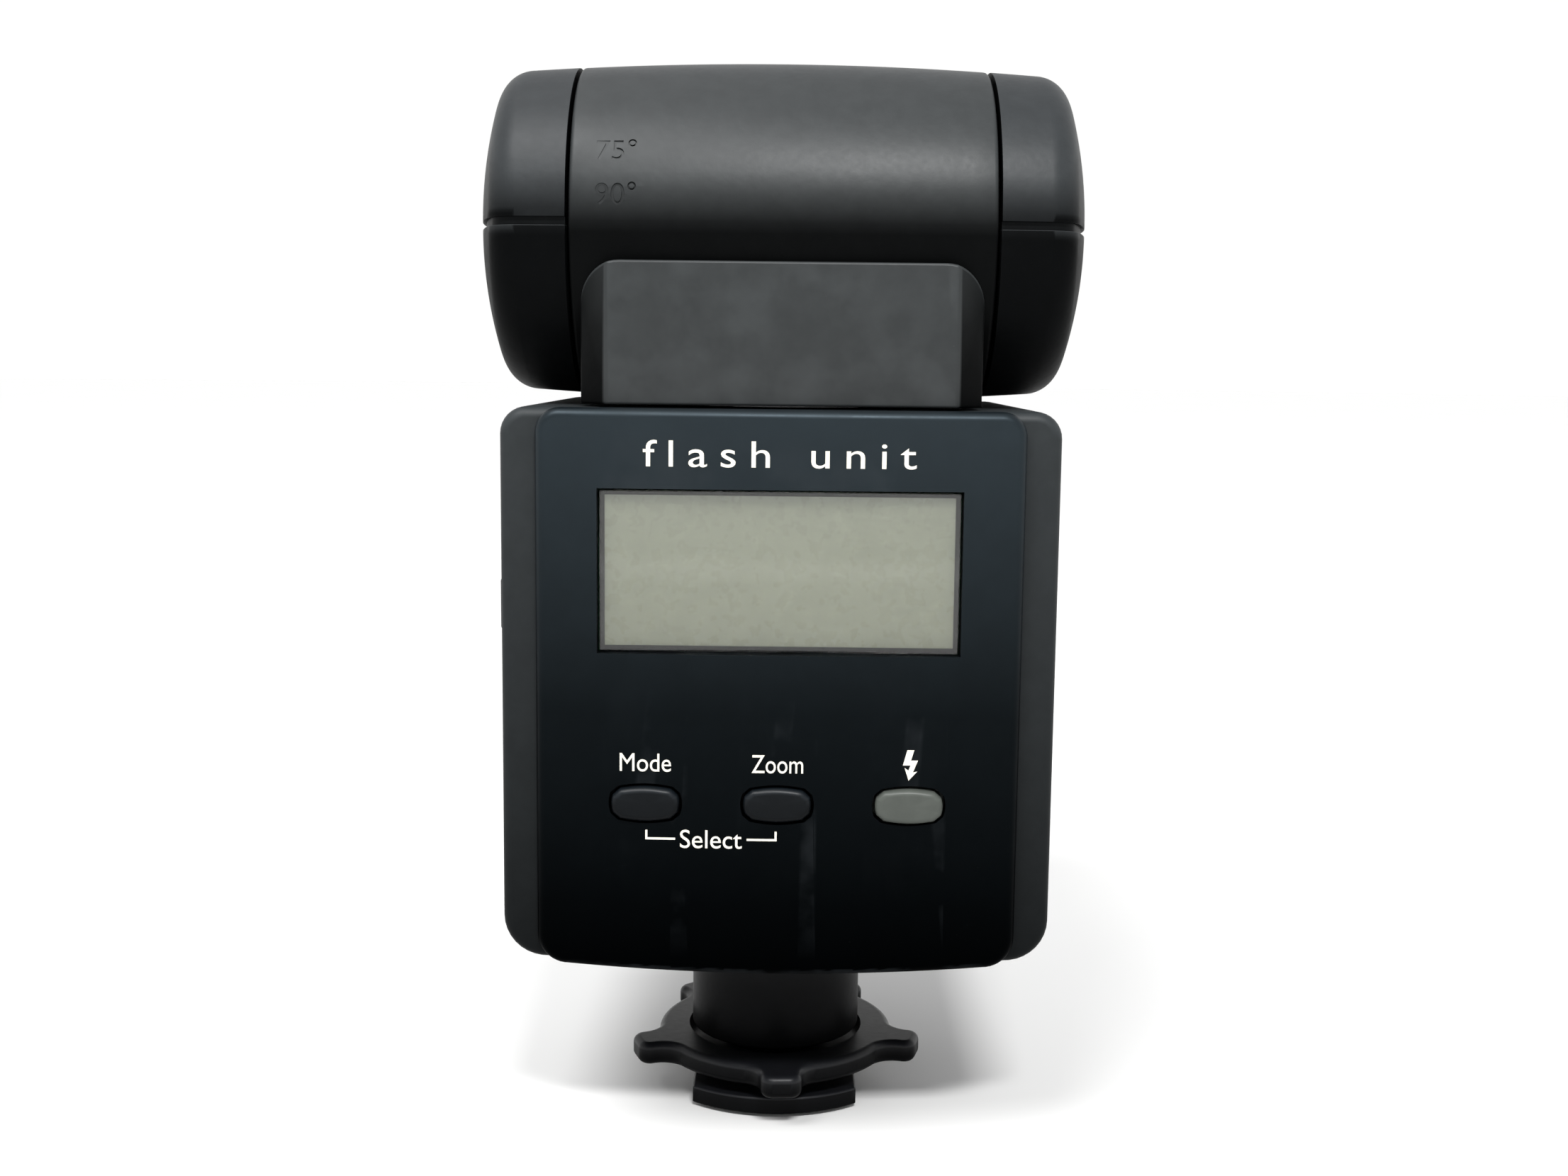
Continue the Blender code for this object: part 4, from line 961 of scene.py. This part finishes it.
def screw_room(node, seat):
    """A counterbore from below round a screw, and its through hole."""
    x, y, radius = middle_and_radius(node)
    wide = rod_bm((x, y, seat - 3), "Z", 6, radius + 0.3, 32)
    thin = rod_bm((x, y, seat), "Z", 8, radius * 0.55 + 0.3, 24)
    return solid(node + "_seat", wide), solid(node + "_hole", thin)


def build_housings():
    hollow = prism_bm(body_outline(BODY_HALF, WALL), "Y", FRONT_LOW.y - 1, FRONT_HIGH.y - WALL)
    door = box_bm(
        (DOOR_HIGH.x - 3, DOOR_LOW.y - FIT, DOOR_LOW.z - FIT),
        (DOOR_HIGH.x + 3, DOOR_HIGH.y + FIT, DOOR_HIGH.z + FIT),
    )
    lamp = box_bm(
        (ASSIST_LOW.x - FIT, ASSIST_HIGH.y - 4, ASSIST_LOW.z - FIT),
        (ASSIST_HIGH.x + FIT, ASSIST_HIGH.y + 3, ASSIST_HIGH.z + FIT),
    )
    round_sharp(door, 0.5, 3)
    deck = rod_bm((0, AXIS.y, BODY_HIGH), "Z", 8, HUB_HOLE, 64)
    post = rod_bm((0, 0, BODY_LOW), "Z", 8, POST_HOLE, 64)
    tools = [
        solid("hollow", hollow), solid("door", door), solid("lamp", lamp),
        solid("deck", deck), solid("post", post),
    ]
    for node in BODY_SCREWS:
        tools += screw_room(node, BODY_LOW + WALL)
    body_half("body_front", FRONT_LOW.y, FRONT_HIGH.y, 0.25, 1.8, "front_housing", *tools)
    inside = prism_bm(body_outline(BODY_HALF, WALL), "Y", REAR_LOW.y + WALL, REAR_HIGH.y + 1)
    panel = box_bm(
        (-PANEL_HOLE_HALF, REAR_LOW.y - 3, PANEL_HOLE_LOW),
        (PANEL_HOLE_HALF, REAR_LOW.y + 5, PANEL_HOLE_HIGH),
    )
    switch = box_bm(
        (SWITCH_LOW.x - 2, SWITCH_LOW.y - FIT, SWITCH_LOW.z - FIT),
        (SWITCH_LOW.x + 4, SWITCH_HIGH.y + FIT, SWITCH_HIGH.z + SWITCH_TRAVEL + FIT),
    )
    round_sharp(switch, 0.3, 3)
    deck = rod_bm((0, AXIS.y, BODY_HIGH), "Z", 8, HUB_HOLE, 64)
    body_half(
        "body_rear", REAR_LOW.y, REAR_HIGH.y, 1.1, 0.25, "rear_housing",
        solid("inside", inside), solid("panel", panel), solid("switch", switch),
        solid("deck", deck),
    )


# ---- rear panel
KEYS = {"mode_button": "key", "zoom_button": "key", "test_button": "grey_key"}
KEY_WIDTH = 7.0
KEY_HEIGHT = 3.6
KEY_DISH = 0.10
FLANGE_HALF_X = 4.3
FLANGE_HALF_Z = 2.6
HOLE_GROW = 0.3
HOLE_EDGE = 0.28


def bowed(x, y=0.0):
    """Where the panel's rear face is at x, plus y."""
    return COVER_LOW.y + x * x / (2 * COVER_BOW) + y


def key_middle(node):
    """(x, z) of a key's middle."""
    low, high = box_mm(node)
    return (low.x + high.x) / 2, (low.z + high.z) / 2


def pillow_outline(node, grow=0.0, fine=10):
    """A key's outline: four edges that bow outwards a little."""
    x, z = key_middle(node)
    width, height = KEY_WIDTH + 2 * grow, KEY_HEIGHT + 2 * grow
    bulge = height * 0.10
    half_w, half_h = width / 2 - bulge, height / 2 - bulge
    soft = 0.55
    corners = [(-half_w, -half_h), (half_w, -half_h), (half_w, half_h), (-half_w, half_h)]
    points = []
    for i, (x0, z0) in enumerate(corners):
        x1, z1 = corners[(i + 1) % 4]
        length = math.hypot(x1 - x0, z1 - z0)
        along = ((x1 - x0) / length, (z1 - z0) / length)
        out = (along[1], -along[0])
        for step in range(fine + 1):
            t = (soft + (length - 2 * soft) * step / fine) / length
            push = bulge * math.sin(math.pi * t)
            points.append((
                x + x0 + (x1 - x0) * t + out[0] * push,
                z + z0 + (z1 - z0) * t + out[1] * push,
            ))
    return points


def build_panel():
    """The raised rear panel: rounded at its edge, bowed, with holes for the keys and display."""
    outline = body_outline(COVER_HIGH.x, 0, BODY_LOW + 0.1, 3.2, 2.6, 10)
    bm = prism_bm(outline, "Y", COVER_LOW.y, COVER_HIGH.y)
    round_at_y(bm, COVER_LOW.y, 1.0, 7)
    for step in range(-12, 13):
        bmesh.ops.bisect_plane(
            bm, geom=bm.verts[:] + bm.edges[:] + bm.faces[:], dist=0.0001,
            plane_co=(step * 1.9 + 0.37, 0, 0), plane_no=(1, 0, 0),
        )
    for vert in bm.verts:
        if vert.co.y < COVER_HIGH.y - 0.5:
            vert.co.y = bowed(vert.co.x, vert.co.y - COVER_LOW.y)
    cover = to_object("rear_panel", bm, "panel", "root", ["rear_cover"])
    window = box_bm(
        (WINDOW_LOW.x - 0.2, -30, WINDOW_LOW.z - 0.2),
        (WINDOW_HIGH.x + 0.2, -20, WINDOW_HIGH.z + 0.2),
    )
    tools = [solid("window", window)]
    for node in KEYS:
        hole = prism_bm(pillow_outline(node, HOLE_GROW), "Y", -30, -20)
        tools.append(solid("hole", hole))
    cut(cover, *tools, smooth=38)
    bm = bmesh.new()
    bm.from_mesh(cover.data)
    bevel_where(bm, lambda edge: sharp(edge, 60) and all(
        vert.co.y < bowed(vert.co.x / MM, 0.02) * MM for vert in edge.verts
    ), HOLE_EDGE * MM, 3)
    bm.to_mesh(cover.data)
    bm.free()
    smooth_shading(cover.data, 38)
    even_shading(cover)


def build_display():
    """The clear window and the printed border behind it; the raised cell is the frame's lcd_module,
    painted in paint_frame.
    """
    low, high = WINDOW_LOW, WINDOW_HIGH
    pane = round_sharp(box_bm(low, high), 0.12, 3)
    to_object("display_pane", pane, "window", "root", ["lcd_window"])
    border = 0.55
    front, back = WINDOW_HIGH.y + 0.06, DISPLAY_LOW.y - 0.06
    frame_bm = prism_bm(
        [(low.x, low.z), (high.x, low.z), (high.x, high.z), (low.x, high.z)], "Y", front, back
    )
    ring = to_object("display_mask", frame_bm, "border", "root")
    inner = box_bm((low.x + border, -30, low.z + border), (high.x - border, -20, high.z - border))
    cut(ring, solid("inner", inner))


def build_keys():
    for node, look in KEYS.items():
        x, z = key_middle(node)
        rear_y = box_mm(node)[0].y
        bm = prism_bm(pillow_outline(node), "Y", rear_y, COVER_HIGH.y)
        round_at_y(bm, rear_y, 0.75, 7)
        rear = [f for f in bm.faces if f.normal.y < -0.99 and len(f.verts) > 8]
        for vert in bmesh.ops.poke(bm, faces=rear)["verts"]:
            vert.co.y += KEY_DISH
        body = node.replace("_button", "_key")
        key = to_object(node + "_cap", bm, look, body, [node])
        low = (x - FLANGE_HALF_X, -22.5, z - FLANGE_HALF_Z)
        flange = box_bm(low, (x + FLANGE_HALF_X, -21.9, z + FLANGE_HALF_Z))
        cut(key, solid("flange", round_sharp(flange, 0.1, 2)), operation="UNION", smooth=50)


def build_lettering():
    """Cream words and signs, printed on the panel."""
    (mode_x, key_z), (zoom_x, _), (test_x, _) = (key_middle(node) for node in KEYS)
    label_z = key_z + 4.3
    select_z = key_z - 3.7
    select_x = (mode_x + zoom_x) / 2
    bolt = [
        (0.36, 1.00), (0.76, 1.00), (0.58, 0.66), (0.98, 0.66), (0.70, 0.27), (0.95, 0.30),
        (0.46, 0.00), (0.22, 0.42), (0.44, 0.33), (0.56, 0.50), (0.12, 0.50),
    ]
    bolt_low = label_z - 1.6
    line = 0.22
    parts = [
        letters_bm("flash unit", 2.7, (-0.1, 74.9), 27.6, 1.45),
        letters_bm("Mode", 1.9, (mode_x, label_z), 5.3),
        letters_bm("Zoom", 1.9, (zoom_x, label_z), 5.3),
        letters_bm("Select", 1.95, (select_x, select_z), 6.4),
        outline_bm([(test_x - 0.9 + x * 1.8, bolt_low + z * 3.2) for x, z in bolt]),
    ]
    for outer, side in ((mode_x, 1), (zoom_x, -1)):
        tip = outer + side * 3.1
        corner = outer + side * line
        parts.append(outline_bm([
            (outer, select_z + 0.9), (outer, select_z - line / 2), (tip, select_z - line / 2),
            (tip, select_z + line / 2), (corner, select_z + line / 2), (corner, select_z + 0.9),
        ]))
    bm = thicken(merged(parts), -0.035, 0.10)
    for vert in bm.verts:
        vert.co.y = bowed(vert.co.x, vert.co.y)
    to_object("panel_lettering", bm, "ink", "root", smooth=30)


# ---- battery door and switch
def cut_grooves(obj, low, size, count, pitch, edge):
    """Finger grooves across a slide, one above another."""
    tools = []
    for i in range(count):
        corner = Vector(low) + Vector((0, 0, i * pitch))
        groove = round_sharp(box_bm(corner, corner + Vector(size)), edge, 2)
        tools.append(solid("groove", groove))
    cut(obj, *tools)


def build_door():
    low, high = DOOR_LOW, DOOR_HIGH
    bm = round_sharp(box_bm(low, high), 0.45, 4)
    door = to_object("door_panel", bm, "casing", "door", ["battery_door"])
    well = box_bm(
        (high.x - 0.8, LATCH_LOW.y - 0.3, LATCH_LOW.z - 0.3),
        (high.x + 2, LATCH_HIGH.y + 0.3, LATCH_HIGH.z + 3.3),
    )
    round_sharp(well, 0.35, 3)
    cut(door, solid("well", well))
    even_shading(door)
    bm = round_sharp(box_bm(LATCH_LOW, LATCH_HIGH), 0.4, 4)
    latch = to_object("latch_slide", bm, "rubber", "latch", ["battery_latch"])
    low = (LATCH_HIGH.x - 0.4, LATCH_LOW.y + 0.8, LATCH_LOW.z + 0.9)
    cut_grooves(latch, low, (1.4, LATCH_HIGH.y - LATCH_LOW.y - 1.6, 0.4), 4, 0.95, 0.12)


def build_switch():
    out = -BODY_HALF
    cap = box_bm(SWITCH_LOW, (out + 1.4, SWITCH_HIGH.y, SWITCH_HIGH.z))
    round_sharp(cap, 0.35, 4)
    slide = to_object("switch_slide", cap, "rubber", "switch", ["power_switch"])
    tab = solid("tab", box_bm((out + 1.0, *TAB_LOW), (out + 3.2, *TAB_HIGH)))
    cut(slide, tab, operation="UNION")
    low = (SWITCH_LOW.x - 1, SWITCH_LOW.y + 0.4, SWITCH_LOW.z + 0.85)
    cut_grooves(slide, low, (1.3, SWITCH_HIGH.y - SWITCH_LOW.y - 0.8, 0.38), 5, 0.85, 0.1)


def build_assist_window():
    """The red window, with upright ribs moulded in its inner face."""
    low, high = ASSIST_LOW, ASSIST_HIGH
    ribs = 14
    pitch = (high.x - low.x - 2.0) / ribs
    back = [(low.x, low.y)]
    for i in range(ribs):
        x = low.x + 1.0 + i * pitch
        back += [(x, low.y + 0.25), (x + pitch / 2, low.y)]
    back += [(high.x, low.y), (high.x, high.y), (low.x, high.y)]
    bm = prism_bm(back, "Z", low.z, high.z)
    round_at_y(bm, high.y, 0.4, 4)
    to_object("assist_pane", bm, "red", "root", ["assist_window"], smooth=20)


# ---- foot
WHEEL_LOBES = 5
WHEEL_RIM = 13.7
WHEEL_RECESS = 4.6
WHEEL_RECESS_RADIUS = 10.2
LOBE_TIP = 17.2
LOBE_HALF = 2.3
LOBE_ROUND = 1.4
LOBE_FILLET = 2.6
LOBE_START = -87.2
RING_HOLE = 6.4
SHOE_REAR_RADIUS = 15.1
SHOE_THICK = 2.0
SHOE_CORNER = 0.8


def wheel_outline():
    """Lobes on a round rim: a rounded tip, and a hollow fillet where each side meets the rim."""
    lobe = arc((LOBE_TIP - LOBE_ROUND, LOBE_HALF - LOBE_ROUND), LOBE_ROUND, 0, 90, 8)
    rise = LOBE_HALF + LOBE_FILLET
    foot = math.sqrt((WHEEL_RIM + LOBE_FILLET) ** 2 - rise**2)
    lean = math.degrees(math.atan2(rise, foot))
    lobe += arc((foot, rise), LOBE_FILLET, -90, lean - 180, 10)
    step = 360 / WHEEL_LOBES
    lobe += arc((0, 0), WHEEL_RIM, lean, step / 2, 7)[1:-1]
    ordered = [(x, -y) for x, y in reversed(lobe)] + lobe
    points = []
    for i in range(WHEEL_LOBES):
        turn = Matrix.Rotation(math.radians(LOBE_START + i * step), 2)
        points += [tuple(turn @ Vector(point)) for point in ordered]
    return points


def build_wheel():
    bm = prism_bm(wheel_outline(), "Z", WHEEL_LOW.z, WHEEL_HIGH.z)
    bevel_where(bm, level, 0.80, 6)
    wheel = to_object("wheel_disc", bm, "foot", "wheel", ["locking_wheel"])
    recess = rod_bm((0, 0, WHEEL_RECESS + 5), "Z", 10, WHEEL_RECESS_RADIUS, 96)
    bore = rod_bm((0, 0, 4), "Z", 20, POST_HOLE, 96)
    cut(wheel, solid("recess", recess), solid("bore", bore))
    even_shading(wheel)


def rounded_tube(low, high, outer, inner, edge):
    """A turned sleeve's profile, with both outer edges rounded."""
    top = arc((outer - edge, high - edge), edge, 90, 0, 5)
    bottom = arc((outer - edge, low + edge), edge, 0, -90, 5)
    return [(inner, high)] + top + bottom + [(inner, low)]


def build_stem():
    tube = rounded_tube(STEM_LOW.z, STEM_HIGH.z, STEM_HIGH.x, POST_HOLE, 0.3)
    bm = turned_bm(tube, sides=128)
    to_object("stem_sleeve", bm, "foot", "root", ["foot_stem"])
    tube = rounded_tube(RING_LOW.z, RING_HIGH.z, RING_HIGH.x, RING_HOLE, 0.2)
    bm = turned_bm(tube, sides=128)
    to_object("clamp_washer", bm, "foot", "clamp", ["clamp_ring"])


def build_shoe():
    reach, front = FOOT_HIGH.x - SHOE_CORNER, FOOT_HIGH.y - SHOE_CORNER
    span = math.degrees(math.asin(FOOT_HIGH.x / SHOE_REAR_RADIUS))
    rear = (0, FOOT_LOW.y + SHOE_REAR_RADIUS)
    outline = arc(rear, SHOE_REAR_RADIUS, -90 - span, -90 + span, 32)
    outline += arc((reach, front), SHOE_CORNER, 0, 90, 5)
    outline += arc((-reach, front), SHOE_CORNER, 90, 180, 5)
    bm = prism_bm(outline, "Z", FOOT_LOW.z, FOOT_LOW.z + SHOE_THICK)
    bevel_where(bm, level, 0.28, 4)
    shoe = to_object("shoe_plate", bm, "foot", "root", ["foot_plate"])
    flange = FOOT_HIGH.z - 1.4
    post = turned_bm([
        (0, FOOT_HIGH.z), (9.0, FOOT_HIGH.z), (9.0, flange), (POST_RADIUS, flange),
        (POST_RADIUS, SHOE_THICK - 0.5), (0, SHOE_THICK - 0.5),
    ])
    cut(shoe, solid("post", post), operation="UNION")
    tools = [solid("cable_way", rod_bm((0, 0, 17), "Z", 16, 4.0, 64))]
    for node in SHOE_CONTACTS:
        x, y, radius = middle_and_radius(node)
        tools.append(solid("contact_hole", rod_bm((x, y, 0), "Z", 5.4, radius + 0.3, 40)))
    cut(shoe, *tools)
    even_shading(shoe)


# ---- stage, light and camera
LIGHTS_AIM = Vector((0, 0, 0.09))
CAMERA_AIM = Vector((0.47, COVER_LOW.y, 61.4)) * MM
CAMERA_DISTANCE = 0.180
CAMERA_LENS = 40.7
CAMERA_ELEVATION = math.radians(7.3)
CAMERA_ROLL = math.radians(0.65)


def add_floor():
    """A plain pale floor, just under the lowest contact."""
    bm = bmesh.new()
    bmesh.ops.create_circle(bm, cap_ends=True, segments=96, radius=6.0)
    floor = meshed("floor", bm, 1.0)
    floor.location.z = (box_mm("centre_contact")[0].z - 0.02) * MM
    graph = Graph("pale_floor")
    base = graph.mix(graph.noise(6, 3), (0.88, 0.88, 0.875), (0.90, 0.90, 0.89))
    rough = graph.span(graph.noise(40, 3), 0.55, 0.65)
    graph.feed("Specular IOR Level", 0.25)
    floor.data.materials.append(graph.finish(base, rough))


def add_world():
    """A white studio, dimmer overhead, with a dim wall behind the camera."""
    world = bpy.data.worlds.new("studio")
    graph = Graph("studio", world)
    toward = graph.step(graph.along("Y"), -0.25, -0.75, "SMOOTHSTEP")
    above = graph.step(graph.along("Z"), 0.22, 0.45, "SMOOTHSTEP")
    overhead = graph.step(graph.along("Z"), 0.30, 0.70)
    sky = graph.mix(overhead, (0.96, 0.96, 0.95), (0.55, 0.55, 0.56))
    tone = graph.mix(graph.maths("MULTIPLY", toward, above), sky, (0.10, 0.10, 0.11))
    graph.feed("Color", tone)
    graph.feed("Strength", 1.06)
    bpy.context.scene.world = world


def area_light(name, place, size, power):
    light = bpy.data.lights.new(name, "AREA")
    light.shape = "RECTANGLE"
    light.size, light.size_y = size
    light.energy = power
    obj = linked(name, light)
    obj.location = place
    obj.rotation_mode = "QUATERNION"
    obj.rotation_quaternion = (LIGHTS_AIM - Vector(place)).to_track_quat("-Z", "Y")


def add_lights():
    area_light("key_light", (0.10, -0.62, 0.72), (0.22, 0.08), 6.5)
    area_light("top_light", (-0.25, 0.10, 1.0), (0.7, 0.6), 0.8)
    sun = bpy.data.lights.new("soft_sun", "SUN")
    sun.energy = 2.0
    sun.angle = math.radians(26)
    linked("soft_sun", sun).rotation_euler = (math.radians(32), 0, math.radians(-38))


def add_camera():
    camera = bpy.data.cameras.new("camera")
    camera.sensor_width = 36.0
    camera.lens = CAMERA_LENS
    obj = linked("camera", camera)
    back = Vector((0, -math.cos(CAMERA_ELEVATION), math.sin(CAMERA_ELEVATION)))
    turn = (-back).to_track_quat("-Z", "Y").to_matrix().to_4x4()
    roll = Matrix.Rotation(CAMERA_ROLL, 4, "Z")
    obj.matrix_world = Matrix.Translation(CAMERA_AIM + back * CAMERA_DISTANCE) @ turn @ roll
    bpy.context.scene.camera = obj


def main():
    build_head()
    build_neck()
    build_housings()
    build_panel()
    build_display()
    build_keys()
    build_lettering()
    build_door()
    build_switch()
    build_assist_window()
    build_wheel()
    build_stem()
    build_shoe()
    paint_frame()
    bpy.context.scene.view_settings.view_transform = "Standard"
    add_floor()
    add_world()
    add_lights()
    add_camera()


main()
